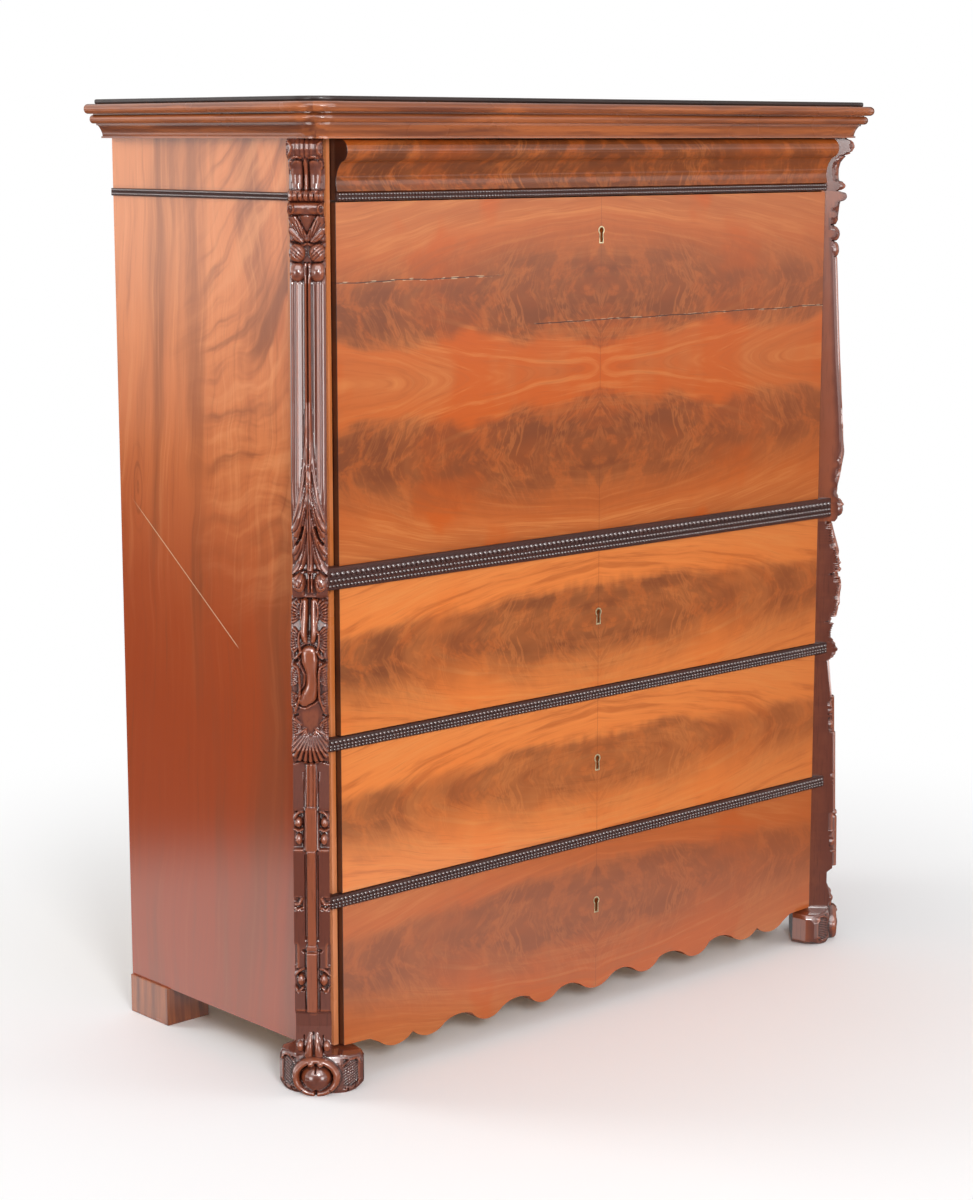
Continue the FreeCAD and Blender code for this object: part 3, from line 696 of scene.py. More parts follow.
def carved_piece(name, relief, backs, wall):
    """Mesh of a carved face with its sides, closed behind. It faces forward, in millimetres.

    The rim is drawn back in one step for each of backs, (relief, width as a share). The sides wear wall as
    their shade.
    """
    deselect()
    bpy.ops.mesh.primitive_grid_add(x_subdivisions=relief.columns, y_subdivisions=relief.rows, size=2)
    piece = bpy.context.object
    piece.name = name
    mesh = piece.data
    co = np.zeros(len(mesh.vertices) * 3, np.float32)
    mesh.vertices.foreach_get("co", co)
    co = co.reshape(-1, 3)
    column = np.rint((co[:, 0] + 1) / 2 * relief.columns).astype(int)
    row = np.rint((co[:, 1] + 1) / 2 * relief.rows).astype(int)
    for axis, grid in enumerate((relief.s, -relief.d, relief.z)):
        co[:, axis] = grid[row, column]
    mesh.vertices.foreach_set("co", co.ravel())
    edit_all()
    bpy.ops.mesh.region_to_loop()
    bpy.ops.mesh.mark_sharp()
    middle = float(relief.s.mean())
    for depth, share in backs:
        bpy.ops.mesh.extrude_edges_move()
        bpy.ops.transform.resize(value=(share, 0, 1), center_override=(middle, -depth, 0))
    bpy.ops.mesh.edge_face_add()
    bpy.ops.mesh.select_all(action="SELECT")
    bpy.ops.mesh.normals_make_consistent(inside=False)
    bpy.ops.object.mode_set(mode="OBJECT")
    shade = np.full(len(mesh.vertices), wall)
    shade[:len(row)] = relief.hollows(3)[row, column]
    tint(piece, shade)
    return piece


def on_corner(piece):
    """Bring a piece that faces forward, in millimetres, onto the left canted corner."""
    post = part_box("corner_post_left")[0]
    pick(piece)
    piece.scale = (MM, MM, MM)
    piece.rotation_euler = (0, 0, -math.pi / 4)
    piece.location = (post.x + CANT / 2, post.y + CANT / 2, 0)
    apply_place()


def mirrored(piece, name):
    """Copy of a piece for the right hand, with its own mesh."""
    pick(piece)
    bpy.ops.object.duplicate(linked=False)
    twin = bpy.context.object
    twin.name = name
    twin.scale = (-1, 1, 1)
    apply_place()
    edit_all()
    bpy.ops.mesh.normals_make_consistent(inside=False)
    bpy.ops.object.mode_set(mode="OBJECT")
    return twin


def smooth(piece, angle=50):
    pick(piece)
    bpy.ops.object.shade_smooth_by_angle(angle=math.radians(angle))


def fitted(piece, node, body, finish):
    """Finish a piece that stands for a node, and let it ride with its body."""
    wear(piece, finish)
    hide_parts(node)
    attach(piece, body)


def corner_pair(name, relief, backs, finish, wall=BARE_WALL):
    """Carved piece on the left corner and its twin on the right one."""
    left = carved_piece(name + "_left_carved", relief, backs, wall)
    on_corner(left)
    smooth(left)
    right = mirrored(left, name + "_right_carved")
    fitted(left, name + "_left", "case", finish)
    fitted(right, name + "_right", "case", finish)


def corbel_relief(pitch):
    """Corbel under the cornice: a reeded roll, a hollow shield with a middle rib, and a row of buds."""
    r = Relief(-27.5, 21.5, 1259.5, 1344, pitch)
    r.section((1259.5, 20), (1261, 24), (1264, 27), (1267.5, 28), (1271, 27), (1274, 24), (1276, 16),
              (1284, 14.5), (1296, 14), (1305, 16), (1312, 21), (1316, 27), (1319, 33), (1323, 38),
              (1330, 41), (1337, 39), (1341, 35), (1344, 31))
    r.d -= 5 * ramp(r.off, 20, 25)
    r.settle()
    roll = ramp(r.z, 1315, 1318)
    reed = (r.off % 6.6) / 3.3 - 1
    r.d += roll * 2.4 * (np.sqrt(np.clip(1 - reed ** 2, 0, 1)) - 0.6)
    r.d -= 3.0 * np.exp(-((r.z - 1316) / 1.3) ** 2)
    r.settle()
    r.raised(8.6, 7.5, (12, 1279), (12.4, 1296), (11.6, 1312), taper=(0.85, 1, 1.1))
    r.raised(3.4, 6.5, (0, 1277), (0, 1296), (0, 1313), taper=(0.9, 1, 1.4))
    r.cut(1.3, 3.0, (4.0, 1313), (3.6, 1296), (4.0, 1277))
    r.cut(2.4, 4.0, (3, 1314), (12, 1316.5), (23, 1311))
    r.raised(2.4, 5, (16, 1311), (20.5, 1313), (22.5, 1308), (20.5, 1304))
    for across in (0, 7.5, 14.5, 21):
        r.domed(across, 1267.5, 3.4, 7.0, 4.5)
        r.cut(0.8, 1.2, (across + 1.2, 1262), (across + 1.2, 1272))
    r.ring(22.5, 1331, 4.5, 8.5, 2.0, 4)
    return r


def upper_relief(pitch):
    """Upper console: a roll, a spray of leaves over two pairs of lobes, a fluted shaft, and a long leaf."""
    r = Relief(-27.5, 21.5, 719, 1259.5, pitch)
    r.section((719, 27), (724, 31), (732, 33), (745, 32), (756, 28), (765, 24), (780, 26), (806, 31),
              (830, 34.5), (850, 36), (880, 36), (913, 34), (950, 31), (988, 28), (1080, 23), (1150, 19.5),
              (1162, 16), (1203, 13), (1222, 14), (1241, 17), (1259.5, 18))
    r.d -= 4 * ramp(r.off, 21, 25) * ramp(r.z, 775, 800)
    shaft = ramp(r.z, 835, 885) * (1 - ramp(r.z, 1150, 1160))
    flutes = curved(((0, -0.6), (2.6, 0.4), (5.0, -3.2), (8.4, -3.6), (12.6, -1.5), (14.4, -0.9),
                     (16.0, -1.8), (17.5, -3.4), (21.0, -3.2), (22.8, -1.4), (25, -2.4)))
    r.d += shaft * np.interp(r.off, flutes[:, 0], flutes[:, 1])
    r.settle()
    r.raised(2.6, 3.2, (2.6, 1176), (2.6, 1000), (4.6, 930), (7.8, 885), (11.5, 860), (17, 838), (23, 815))
    r.raised(1.3, 2.2, (0.6, 985), (1.7, 930), (2.6, 885), (4.2, 850))
    r.cut(1.4, 2.2, (0, 1172), (0, 990))

    leaf = (0.45, 1.0, 0.75)
    r.raised(4.6, 6.5, (0, 905), (0, 830), (0, 756), taper=(0.2, 0.9, 1.1))
    for top, tip in ((876, 815), (846, 782), (814, 757)):
        r.raised(7.2, 6.5, (2.5, top), (8.5, top - 33), (15, tip + 6), (22, tip - 2), taper=leaf)
        r.raised(4.2, 6.8, (3.5, top - 12), (9.5, top - 42), (19.5, tip - 9), taper=leaf)
        r.cut(0.9, 2.2, (3, top - 3), (9, top - 36), (15.5, tip + 3), (22.5, tip - 5))
        r.cut(0.8, 1.6, (4.5, top), (11, top - 28), (22.5, tip + 5))
    r.cut(0.9, 2.0, (0, 880), (0, 760))
    r.cut(2.3, 11, (8.6, 818), (12.5, 804), (18, 794))
    r.settle()

    r.sunk(5, 0, 6.5, 724, 752)
    r.settle()
    r.domed(14.5, 740, 9.6, 13.5, 8.5)
    r.cut(1.1, 2.6, (8, 752), (11, 741), (15, 734), (20, 736))
    r.raised(1.6, 5, (2.2, 753), (2.4, 727))
    r.cut(2.2, 5, (0, 755), (12, 757), (23, 750))

    r.ground = np.interp(r.z, (1150, 1203, 1260), (16, 13, 17))
    r.domed(13.6, 1166, 10.8, 14, 9.5)
    r.domed(13.8, 1191, 12.0, 13.0, 11.5)
    for lean in (-4.5, 0, 4.5):
        r.cut(0.9, 1.8, (5.5, 1184 + lean), (13, 1191 + 1.5 * lean), (22, 1199 + 1.2 * lean))
    r.raised(9.0, 8, (2.5, 1206), (9, 1220), (18, 1241), taper=(0.6, 1.0, 1.0))
    r.raised(6.0, 8, (5, 1203), (14, 1213), (22.5, 1222), taper=(0.6, 1.0, 0.8))
    r.raised(9.0, 8.5, (0, 1219), (0, 1232), (0, 1246), taper=(0.15, 0.9, 1.4))
    r.cut(1.3, 4.5, (0, 1217), (6, 1228), (14, 1242))
    for reach in (7, 12, 17):
        r.cut(0.9, 1.9, (2.6, 1205), (reach * 0.6, 1216), (reach + 2, 1240 - 0.5 * reach))
    r.cut(0.9, 2, (5, 1203), (14, 1211), (23, 1217))
    r.cut(1.8, 4, (0, 1206), (9, 1204), (23, 1206))
    r.cut(1.3, 3, (0, 1178), (12, 1178), (23, 1180))

    barrel = np.sqrt(np.clip(1 - ((r.z - 1251) / 8.2) ** 2, 0, 1))
    waisted = 1 - 0.10 * np.exp(-(r.off / 5) ** 2)
    r.d = np.where(barrel > 0, np.maximum(r.d, 21 + 9.5 * barrel * waisted), r.d)
    r.cut(1.2, 3, (0, 1242.5), (12, 1242), (24, 1240.5))
    r.settle()
    r.ring(20.5, 1250, 3.8, 6.0, 1.7, 4)
    return r


def lower_relief(pitch):
    """Lower console: shell work round a smooth cartouche, a panel with a stepped strip, and a bulb."""
    r = Relief(-31, 20, 52, 719, pitch)
    r.section((52, 27), (58, 31), (73, 34), (86, 31), (100, 28), (118, 28), (125, 37), (220, 36),
              (358, 32), (419, 27), (481, 20), (486, 22), (492, 27), (504, 31), (514, 27), (521, 18),
              (535, 20), (549, 23), (572, 29), (612, 31), (648, 30), (660, 27), (671, 25), (692, 19),
              (719, 14))
    r.d -= 3.5 * ramp(r.off, 22, 26) * ramp(r.z, 490, 510)
    r.settle()

    r.fan(6.5, 693, 80, -28, 9, 21, 2.3, 7.5)
    r.fan(8, 660, 50, -52, 9, 20, 2.2, 7.5)
    r.fan(8, 604, 52, -26, 8, 20, 2.1, 7.0)
    r.fan(9, 578, 26, -50, 7, 19, 2.1, 7.0)
    r.raised(2.0, 9.0, (5, 717), (10.5, 710), (12, 695), (9.5, 678))
    r.raised(2.0, 9.0, (9, 674), (13.5, 668), (14, 654), (12, 643), (19, 634))
    r.raised(2.0, 8.5, (22, 625), (15.5, 620), (13.5, 602), (14, 580), (20, 559))
    r.cut(4.0, 9.0, (17, 631), (26, 629))
    r.cut(2.6, 6.0, (18, 552), (26, 549))
    r.raised(5.0, 11.5, (6.0, 713), (6.6, 690), (7.2, 668), (5.6, 659), taper=(0.85, 1, 1, 0.8))
    r.cut(2.0, 3.0, (0, 716), (0, 664))
    r.cut(1.6, 4.0, (3, 716), (14, 722), (24, 712))

    kidney = ((0, 640), (0.6, 629), (3.2, 612), (3.2, 594), (-1.0, 581), (-8.0, 573))
    bulge = (1.0, 0.98, 0.64, 0.74, 1.0, 0.74)
    r.cut(18.0, 8.0, *kidney, taper=bulge, single=True)
    r.lipped(15.0, 2.0, 3.0, *kidney, taper=bulge, single=True)
    r.settle()
    r.raised(11.6, 13.0, *kidney, taper=bulge, single=True)
    r.rubbed += 1.1 * ramp(r.d - r.ground, 1, 5)
    r.fan(7, 533, 40, -42, 8, 22, 2.3, 8.0)
    r.ground = np.interp(r.z, (486, 504, 521, 545), (22, 30, 18, 22))
    for turn in np.radians(np.arange(-84, 85, 14)):
        tip = (min(33 * abs(math.sin(turn)), 25), 524 - 40 * math.cos(turn))
        r.raised(3.3, 8.0, (7 * abs(math.sin(turn)), 532 - 12 * math.cos(turn)), tip, taper=(0.5, 1.0))
    r.cut(2.0, 5.0, (0, 484), (13, 485), (26, 482))
    r.rubbed += 0.5 * ramp(r.z, 515, 535) * ramp(-r.z, -572, -552) * ramp(-r.off, -15, -9)

    strip = np.interp(r.z, (118, 122, 125, 219.5, 220.5, 357.5, 358.5, 418.5, 419.5, 481),
                      (24, 30, 45, 44, 41.5, 38.5, 36.5, 35, 31, 25))
    half = np.interp(r.z, (118, 219, 221, 357, 359, 419, 420, 481), (7.4, 7.4, 6.2, 6.2, 8.2, 8.2, 6.8, 6.8))
    foot = 3 * (r.off / 8) ** 2
    on = 1 - ramp(r.off, half - 0.8, half + 0.5)
    on = on * ramp(r.z, 113 + foot, 116 + foot) * (1 - ramp(r.z, 480, 483))
    r.sunk(6, 13, 27, 362, 412)
    r.sunk(4, 15, 27, 274, 288)
    r.sunk(8, 23, 27, 190, 221, 2.0)
    r.sunk(6, 12.5, 27, 156, 185)
    r.settle()
    r.domed(18.5, 398, 6.2, 8.0, 9)
    r.domed(17.5, 374, 5.6, 8.5, 9)
    r.raised(2.4, 8, (13, 413), (19, 411), (25, 403))
    r.raised(2.2, 8, (13, 388), (18, 386), (25, 389))
    r.raised(2.4, 6, (14, 289), (18, 281), (25, 281))
    r.raised(2.0, 5, (14, 275), (20, 273), (25, 276))
    r.domed(16, 170, 6.0, 9.5, 10)
    r.raised(2.4, 8, (12, 186), (18, 184), (25, 177))
    r.raised(2.2, 7, (14, 158), (20, 154), (25, 160))
    r.cut(0.9, 2, (10.5, 470), (10, 420))
    r.cut(0.9, 2, (9.5, 352), (9.0, 228))
    r.cut(0.9, 2, (10.5, 212), (10.0, 120))
    r.d = np.where(on > 0, r.d + on * np.maximum(strip - r.d, 0), r.d)
    r.rubbed += 0.7 * on
    r.cut(1.0, 2.0, (2.8, 480), (2.8, 421))
    r.cut(3.0, 4.0, (0, 213), (12, 213))
    r.cut(0.8, 2.5, (0, 357.5), (11, 357.5))
    r.settle()

    bulb = np.sqrt(np.clip(1 - ((r.z - 70) / 18.5) ** 2, 0, 1))
    r.d = np.where(bulb > 0, np.maximum(r.d, 26 + 9 * bulb - 0.010 * r.off ** 2), r.d)
    r.settle()
    r.raised(6.5, 6, (4.5, 88), (6.5, 70), (8.5, 54), taper=(0.25, 0.7, 1.1))
    r.domed(19, 71, 5.5, 8.5, 6)
    r.cut(1.2, 4, (0, 90), (0, 54))
    r.cut(1.2, 3, (13.5, 86), (14, 70), (13, 54))
    return r


def foot_relief(pitch):
    """Front foot: a knob inside a ring, between two stippled wings on a bowed face."""
    r = Relief(-58, 62, 0, 60, pitch)
    r.d = np.interp(r.off, (0, 15, 30, 42, 50, 56, 60), (38, 37, 33, 26, 18, 10, 4))
    r.d -= 4 * (1 - ramp(r.z, 0, 8)) + 5 * ramp(r.z, 46, 60)
    middle = -4
    wing = ramp(r.off, 30, 38)
    edge = np.minimum(np.minimum(r.z, 60 - r.z), 60 - r.off)
    field = wing * ramp(edge, 5, 8)
    r.d += 1.5 * wing - 4.0 * field
    r.d += field * 1.3 * np.sin(r.side * 2 * math.pi / 4.4) * np.sin((r.z + 0.5 * r.off) * 2 * math.pi / 4.6)
    r.rubbed -= 0.7 * field
    r.settle()
    r.raised(2.4, 5, (34, 44), (43, 52), (52, 53), (57, 46), taper=(0.7, 1, 0.8))
    r.raised(2.2, 4, (36, 10), (46, 7), (56, 12), taper=(0.8, 1, 0.7))
    r.cut(1.3, 3.0, (40, 1), (41, 7))
    r.cut(1.3, 3.0, (50, 2), (50, 9))
    inner = np.hypot((r.side - middle) / 29, (r.z - 27) / 25)
    r.d -= 9 * (1 - ramp(inner, 0.8, 1.0))
    r.ground = np.full_like(r.d, 34)
    r.ring(middle, 28, 29.5, 25.5, 5.6, 12, single=True)
    for hand in (-1, 1):
        r.domed(middle + hand * 7, 50, 7, 7, 14.5, single=True)
    r.ground = np.full_like(r.d, 30)
    r.domed(middle, 25, 22.5, 22.5, 19.5, single=True)
    r.cut(1.4, 4, (middle, 48), (middle, 42), (middle, 36), single=True)
    r.cut(2.6, 7, (middle, -1), (middle, 7), single=True)
    for hand in (-1, 1):
        r.cut(1.6, 3, (middle + hand * 24, 2), (middle + hand * 20, 9), single=True)
    share = r.z / 60
    low = np.interp(r.off, (0, 36, 50, 60), (0, 0, 1.5, 8))
    high = np.interp(r.side, (-60, -56, -46, -34, 26, 46, 56, 60), (50, 58, 60, 58, 57, 54, 53, 46))
    r.z = low + share * (high - low)
    return r


# Eased boards

def eased(node, finish, width):
    """Copy of a board with its edges eased, which stands for it."""
    source = frame["nodes"][node]
    body = source["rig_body"]
    pick(source)
    bpy.ops.object.duplicate(linked=False)
    piece = bpy.context.object
    piece.name = node + "_eased"
    for key in list(piece.keys()):
        del piece[key]
    edit_all()
    bpy.ops.mesh.remove_doubles(threshold=1e-5)
    bpy.ops.mesh.dissolve_limited(angle_limit=math.radians(0.5))
    bpy.ops.object.mode_set(mode="OBJECT")
    edges = piece.modifiers.new("eased_edges", "BEVEL")
    edges.width = width
    edges.segments = 2
    edges.limit_method = "ANGLE"
    edges.angle_limit = math.radians(40)
    bpy.ops.object.modifier_apply(modifier="eased_edges")
    smooth(piece, 35)
    faces = piece.modifiers.new("flat_faces", "WEIGHTED_NORMAL")
    faces.weight = 100
    faces.keep_sharp = True
    bpy.ops.object.modifier_apply(modifier="flat_faces")
    fitted(piece, node, body, finish)


# Pearl mouldings

def bar(name, low, high, soft):
    """Plain bar between two corners, dull and dark as the ground between pearls."""
    strip = soft_box(name, low, high, soft, 3)
    wear(strip, bpy.data.materials["moulding_ground"])
    return strip


def pearl_row(start, run, pitch, radius):
    """Row of pearls from a point along x or y, each just short of its neighbours."""
    deselect()
    along = Vector(run).normalized()
    count = int(Vector(run).length / pitch)
    first = Vector(start) + along * (Vector(run).length - (count - 1) * pitch) / 2
    bpy.ops.mesh.primitive_uv_sphere_add(segments=10, ring_count=6, radius=radius, location=first)
    row = bpy.context.object
    long = min(1.2, 0.49 * pitch / radius)
    row.scale = [1 + (long - 1) * abs(value) for value in along]
    apply_place()
    repeated(row, along * pitch, count)
    tint(row, -1.0)
    wear(row, bpy.data.materials["moulding_pearls"])
    return row


def stand_in(piece, node, body):
    """Moulding that stands for a node, with its two finishes kept."""
    smooth(piece, 40)
    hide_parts(node)
    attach(piece, body)


def joined(pieces):
    """Pieces as one, under the name of the first."""
    pick(*pieces)
    bpy.ops.object.join()
    return pieces[0]


def front_moulding(name, node, body, x, y_back, y_face, rows):
    """Moulding across the front: a bar as high as its node, with rows of (height share, radius, pitch)."""
    low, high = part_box(node)
    tall = high.z - low.z
    pieces = [bar(name, (-x, y_face, low.z), (x, y_back, high.z), FRONT_BAR_EASE)]
    for share, radius, pitch in rows:
        start = (-x, y_face + radius * PEARL_SUNK, low.z + share * tall)
        pieces.append(pearl_row(start, (2 * x, 0, 0), pitch, radius))
    stand_in(joined(pieces), node, body)


# Operators

class Step(bpy.types.Operator):
    """Common to all the steps of the build."""

    bl_options = {"REGISTER", "UNDO"}

    @property
    def colours(self):
        return bpy.context.scene.chiffonier_colours


class CHIFFONIER_OT_fronts(Step):
    """Veneer the fall front and the drawer fronts"""

    bl_idname = "chiffonier.fronts"
    bl_label = "Veneered fronts"

    def execute(self, context):
        cracks = ((1.1493, -0.52, -0.17, 0.9), (1.0765, -0.14, 0.62, 0.5))
        figures = {
            "fall_front": dict(
                name="flame_veneer_flap", heart_z=1.005, heart_half=0.056, fold=0.119, depth=1.1, ruddy=0.16,
                hazy=1.0, seams=cracks),
            "drawer_upper_front": dict(
                name="flame_veneer_upper", heart_z=0.617, heart_half=0.052, depth=0.95, gold=0.48),
            "drawer_middle_front": dict(
                name="flame_veneer_middle", heart_z=0.392, heart_half=0.042, depth=0.8, gold=0.54),
            "drawer_lower_front": dict(
                name="flame_veneer_lower", heart_z=0.168, heart_half=0.058, depth=1.15, ruddy=0.40),
            "frieze_front": dict(name="flame_veneer_frieze", heart_z=1.293, heart_half=0.060, depth=1.2),
        }
        for node, figure in figures.items():
            eased(node, flame_veneer(colours=self.colours, **figure), FRONT_EASE)
        return {"FINISHED"}


class CHIFFONIER_OT_case(Step):
    """Finish the case, the cornice and the inside"""

    bl_idname = "chiffonier.case"
    bl_label = "Case and inside"

    def execute(self, context):
        c = self.colours
        sides = {hand: side_veneer("side_veneer_" + hand, c, hand == "left") for hand in ("left", "right")}
        upright = solid_wood("mahogany_upright", c.moulded, c.moulded_dark, "z")
        # painted light: this pale finish stands in for light and reflection on the strips beside the carving
        post = solid_wood("mahogany_post_painted_light", c.post, c.veneer, "z")
        lengthwise = solid_wood("mahogany_lengthwise", c.moulded, c.moulded_dark, "x")
        returned = solid_wood("mahogany_returned", c.moulded, c.moulded_dark, "y")
        top = solid_wood("dark_top", c.top, [v * 0.5 for v in c.top], "x", rough=0.4, coat=0.2)
        pine_x = solid_wood("pine_lengthwise", c.pine, c.pine_dark, "x", **DULL_PINE)
        pine_y = solid_wood("pine_deep", c.pine, c.pine_dark, "y", **DULL_PINE)
        brass = metal("old_brass", c.brass, rough=0.3)
        iron = metal("old_iron", c.iron, rough=0.45)
        rails = ("cornice_front", "waist_rail", "desk_board", "drawer_rail", "frieze_board")
        for name in frame["nodes"]:
            if name.startswith("side_panel"):
                wear(name, sides[name.rsplit("_", 1)[1]])
            elif name.startswith("corner_post"):
                wear(name, post)
            elif name == "writing_cabinet":
                wear(name, upright)
            elif name in ("cornice_left", "cornice_right"):
                wear(name, returned)
            elif name.startswith(rails):
                wear(name, lengthwise)
            elif name.startswith("rear_foot"):
                eased(name, upright, FOOT_EASE)
            elif name == "top_board":
                eased(name, top, TOP_EASE)
            elif name.endswith("escutcheon"):
                wear(name, brass)
            elif name.endswith("lock") or name == "flap_pivots":
                wear(name, iron)
            elif name.endswith(("box", "bottom", "guides", "battens")):
                wear(name, pine_y)
            else:
                wear(name, pine_x)
        return {"FINISHED"}


class CHIFFONIER_OT_back(Step):
    """Board the back with upright pine planks"""

    bl_idname = "chiffonier.back"
    bl_label = "Back boards"

    def execute(self, context):
        low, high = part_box("back_panel")
        count = context.scene.chiffonier_sizes.back_boards
        wide = (high.x - low.x) / count
        gap = Vector((PLANK_GAP / 2, 0, 0))
        end = Vector((low.x + wide, high.y, high.z))
        planks = soft_box("back_boards", low + gap, end - gap, PLANK_EASE, 2)
        repeated(planks, (wide, 0, 0), count)
        smooth(planks, 30)
        c = self.colours
        finish = solid_wood("pine_upright", c.pine, c.pine_dark, "z", board=wide, **DULL_PINE)
        fitted(planks, "back_panel", "case", finish)
        return {"FINISHED"}


class CHIFFONIER_OT_carving(Step):
    """Carve the corbels, the consoles and the front feet of the two canted corners"""

    bl_idname = "chiffonier.carving"
    bl_label = "Carved corners"

    def execute(self, context):
        pitch = context.scene.chiffonier_sizes.carving_pitch / MM
        finish = carved_wood("carved_mahogany", self.colours)
        flat = ((-10, 1),)
        corner_pair("pilaster_corbel", corbel_relief(pitch), flat, finish)
        corner_pair("upper_console", upper_relief(pitch), flat, finish, PALE_WALL)
        corner_pair("lower_console", lower_relief(pitch), flat, finish)
        corner_pair("front_foot", foot_relief(pitch), ((-9, 1), (-30, 0.75)), finish)
        return {"FINISHED"}


class CHIFFONIER_OT_mouldings(Step):
    """Set the pearl mouldings of the waist, the drawers and the frieze"""

    bl_idname = "chiffonier.mouldings"
    bl_label = "Pearl mouldings"

    def execute(self, context):
        c = self.colours
        dull = [v * 0.4 for v in c.carved]
        solid_wood("moulding_ground", dull, c.near_black_and_painted_shade, "x", rough=0.55, coat=0.0)
        carved_wood("moulding_pearls", c, rough=0.13, coat=1.0)
        pitch = context.scene.chiffonier_sizes.pearl_pitch
        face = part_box("drawer_upper_front")[0].y
        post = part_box("corner_post_left")[0]
        reach = -post.x - MOULDING_STOP
        waist = ((0.69, 0.0048, pitch), (0.40, 0.0034, pitch * 0.8), (0.17, 0.0030, pitch * 0.7))
        front_moulding("waist_pearls", "waist_moulding", "case", reach, post.y, face - WAIST_OUT, waist)
        drawers = ((0.70, 0.0033, pitch * 0.8), (0.40, 0.0025, pitch * 0.7), (0.16, 0.0022, pitch * 0.7))
        for level in ("upper", "lower"):
            front_moulding(
                "drawer_pearls_" + level, "drawer_bead_" + level, "case", reach, post.y, face - BEAD_OUT,
                drawers)
        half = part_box("frieze_front")[1].x
        frieze = ((0.76, 0.0025, pitch * 0.62), (0.25, 0.0025, pitch * 0.62))
        front_moulding(
            "frieze_pearls_front", "frieze_bead_front", "frieze_drawer", half, face, face - FRIEZE_OUT,
            frieze)
        self.side_moulding("left", -1, frieze)
        self.side_moulding("right", 1, frieze)
        return {"FINISHED"}

    def side_moulding(self, hand, sign, rows):
        node = "frieze_bead_" + hand
        low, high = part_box(node)
        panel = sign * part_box("side_panel_right")[1].x
        face = panel + sign * FRIEZE_OUT
        tall = high.z - low.z
        inner, outer = sorted((panel, face))
        pieces = [bar("frieze_pearls_" + hand, (inner, low.y, low.z), (outer, high.y, high.z), SIDE_BAR_EASE)]
        for share, radius, pitch in rows:
            start = (face - sign * radius * PEARL_SUNK, low.y, low.z + share * tall)
            pieces.append(pearl_row(start, (0, high.y - low.y, 0), pitch * 0.8, radius))
        stand_in(joined(pieces), node, "case")


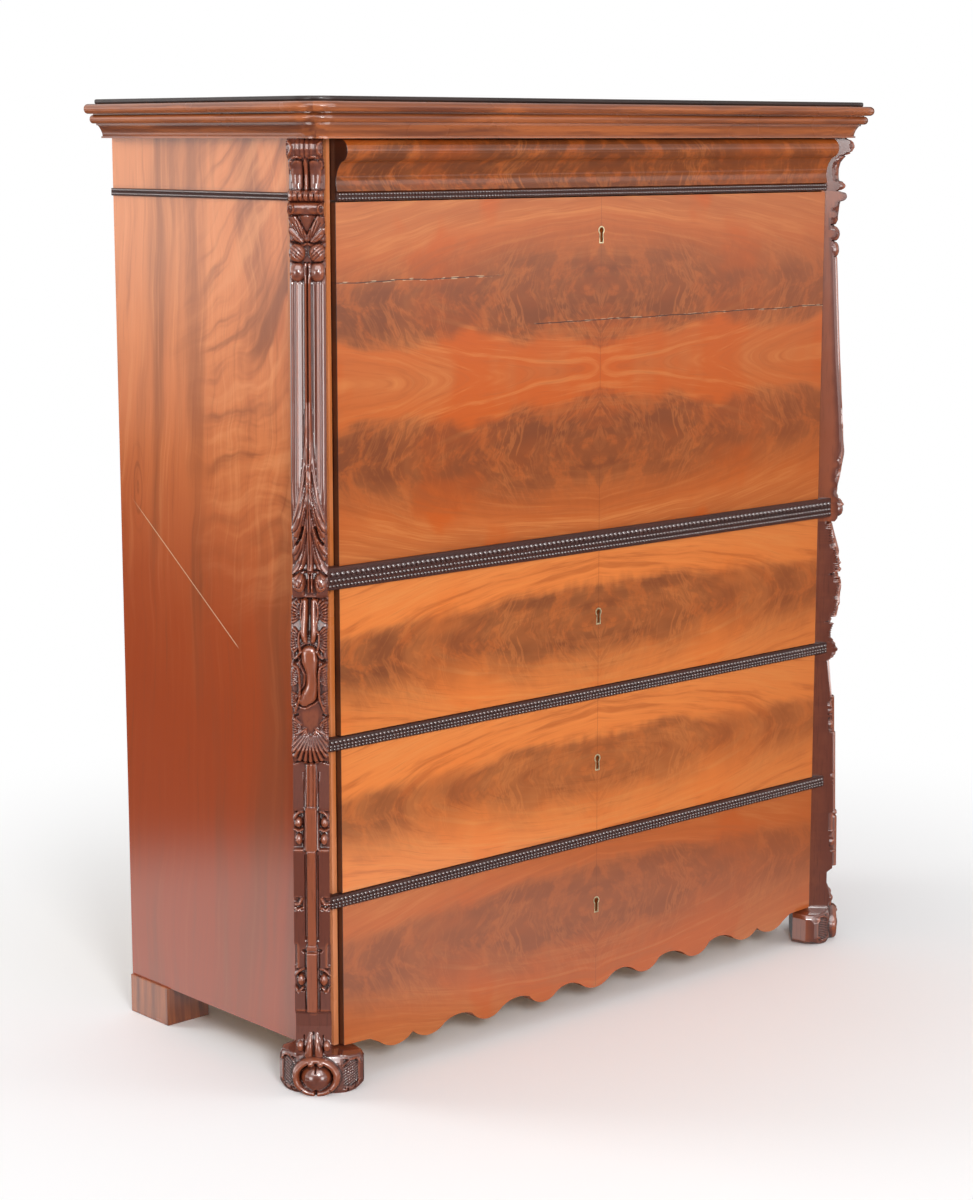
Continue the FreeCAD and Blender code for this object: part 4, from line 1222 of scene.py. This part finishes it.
class CHIFFONIER_OT_stage(Step):
    """Set up the floor, the lamps and the camera"""

    bl_idname = "chiffonier.stage"
    bl_label = "Stage"

    def execute(self, context):
        stage = context.scene.chiffonier_stage
        deselect()
        bpy.ops.mesh.primitive_plane_add(size=FLOOR_SIZE)
        floor = context.object
        floor.name = "studio_floor"
        wear(floor, floor_finish("studio_paper", self.colours.floor))

        bpy.ops.object.camera_add(
            location=(stage.camera_x, stage.camera_y, stage.camera_z),
            rotation=(math.pi / 2 - stage.camera_tilt, 0, -stage.camera_turn))
        camera = context.object
        camera.data.lens = stage.lens
        camera.data.sensor_width = 36
        camera.data.clip_end = 200
        context.scene.camera = camera

        self.lamp("key_lamp", stage.key, place=(-2.2, -3.5, 1.9), aim=(0, 0, 0.6), size=0.8, reflected=True)
        self.lamp("fill_lamp", stage.fill, place=(2.6, -3.1, 1.9), aim=(0.1, 0, 0.9), size=1.7)
        self.lamp("side_lamp", stage.side, place=(-2.0, 2.3, 2.2), aim=(-0.55, 0.1, 1.2), size=1.2)

        self.room(context.scene, stage.sky)
        context.scene.view_settings.view_transform = "Standard"
        return {"FINISHED"}

    def room(self, scene, sky):
        """White room for the camera. Polish mirrors pale walls, a dark far floor, and three white screens."""
        world = bpy.data.worlds.new("studio_room")
        scene.world = world
        world.use_nodes = True
        n = Nodes(world.node_tree)
        ray = n.node("LightPath").outputs
        x, y, z = n.values(n.node("SeparateXYZ", n.node("TexCoord").outputs["Generated"]).outputs)
        height = z + 0.5
        before = n.step(y, 0.3, -0.3)
        eye_level = n.step(z, -0.10, -0.02) * n.step(z, 0.26, 0.12)
        walls = n.levels(
            height, (0.135, 0.05), (0.170, 1.0), (0.215, 0.9), (0.245, 0.04), (0.375, 0.06), (0.41, 0.36),
            (0.46, 0.52))
        walls = walls * (1.0 - before * n.step(height, 0.184, 0.170) * 0.8)
        walls = walls * (2.4 - before) + before * 0.28 + eye_level * 1.1
        walls = walls * (1.0 - n.step(x * -0.67 + y * -0.74, 0.86, 0.97) * 0.8)
        walls = walls * (1.0 - n.step(x, 0.60, 0.80) * 0.5)
        walls = walls * (1.0 - n.step(x + y, 1.05, 1.25) * 0.95)
        left = n.step(x * -0.98 + y * -0.19, 0.968, 0.990)
        ahead = n.step(x * -0.06 + y * -0.998, 0.968, 0.990)
        tall = n.math("MAXIMUM", left, ahead) * n.step(z, 0.2, 0.05)
        above = n.step(z, 0.30, 0.38) * n.step(z, 0.86, 0.78) * n.step(y, 0.0, -0.2) * n.step(x, 0.25, 0.05)
        screens = n.math("MAXIMUM", tall * 9.0, above * 6.0)
        reflected = n.math("MAXIMUM", ray["Is Glossy Ray"], ray["Is Transmission Ray"])
        level = reflected * n.math("MAXIMUM", walls, screens) + (1.0 - reflected) * sky
        back = n.tree.nodes["Background"]
        back.inputs["Color"].default_value = (1, 1, 1, 1)
        n.put(back.inputs["Strength"], n.math("MAXIMUM", ray["Is Camera Ray"], level))

    def lamp(self, name, power, place, aim, size, reflected=False):
        turn = (Vector(aim) - Vector(place)).to_track_quat("-Z", "Y").to_euler()
        bpy.ops.object.light_add(type="AREA", location=place, rotation=turn)
        lamp = bpy.context.object
        lamp.name = name
        lamp.data.shape = "SQUARE"
        lamp.data.size = size
        lamp.data.energy = power
        lamp.visible_camera = False
        lamp.visible_glossy = reflected


class CHIFFONIER_PT_panel(bpy.types.Panel):
    """Steps of the build and their values"""

    bl_label = "Chiffonier"
    bl_space_type = "VIEW_3D"
    bl_region_type = "UI"
    bl_category = "Chiffonier"

    def draw(self, context):
        for step in STEPS:
            self.layout.operator(step.bl_idname)
        scene = context.scene
        for group in (scene.chiffonier_colours, scene.chiffonier_sizes, scene.chiffonier_stage):
            box = self.layout.box()
            for key in group.__annotations__:
                box.prop(group, key)


STEPS = (
    CHIFFONIER_OT_case, CHIFFONIER_OT_back, CHIFFONIER_OT_fronts, CHIFFONIER_OT_carving,
    CHIFFONIER_OT_mouldings, CHIFFONIER_OT_stage)
CLASSES = (ChiffonierColours, ChiffonierSizes, ChiffonierStage, *STEPS, CHIFFONIER_PT_panel)


def register():
    for made in CLASSES:
        bpy.utils.register_class(made)
    bpy.types.Scene.chiffonier_colours = PointerProperty(type=ChiffonierColours)
    bpy.types.Scene.chiffonier_sizes = PointerProperty(type=ChiffonierSizes)
    bpy.types.Scene.chiffonier_stage = PointerProperty(type=ChiffonierStage)


def unregister():
    del bpy.types.Scene.chiffonier_stage
    del bpy.types.Scene.chiffonier_sizes
    del bpy.types.Scene.chiffonier_colours
    for made in reversed(CLASSES):
        bpy.utils.unregister_class(made)


def main():
    register()
    for step in STEPS:
        area, name = step.bl_idname.split(".")
        getattr(getattr(bpy.ops, area), name)()


if __name__ == "__main__":
    main()
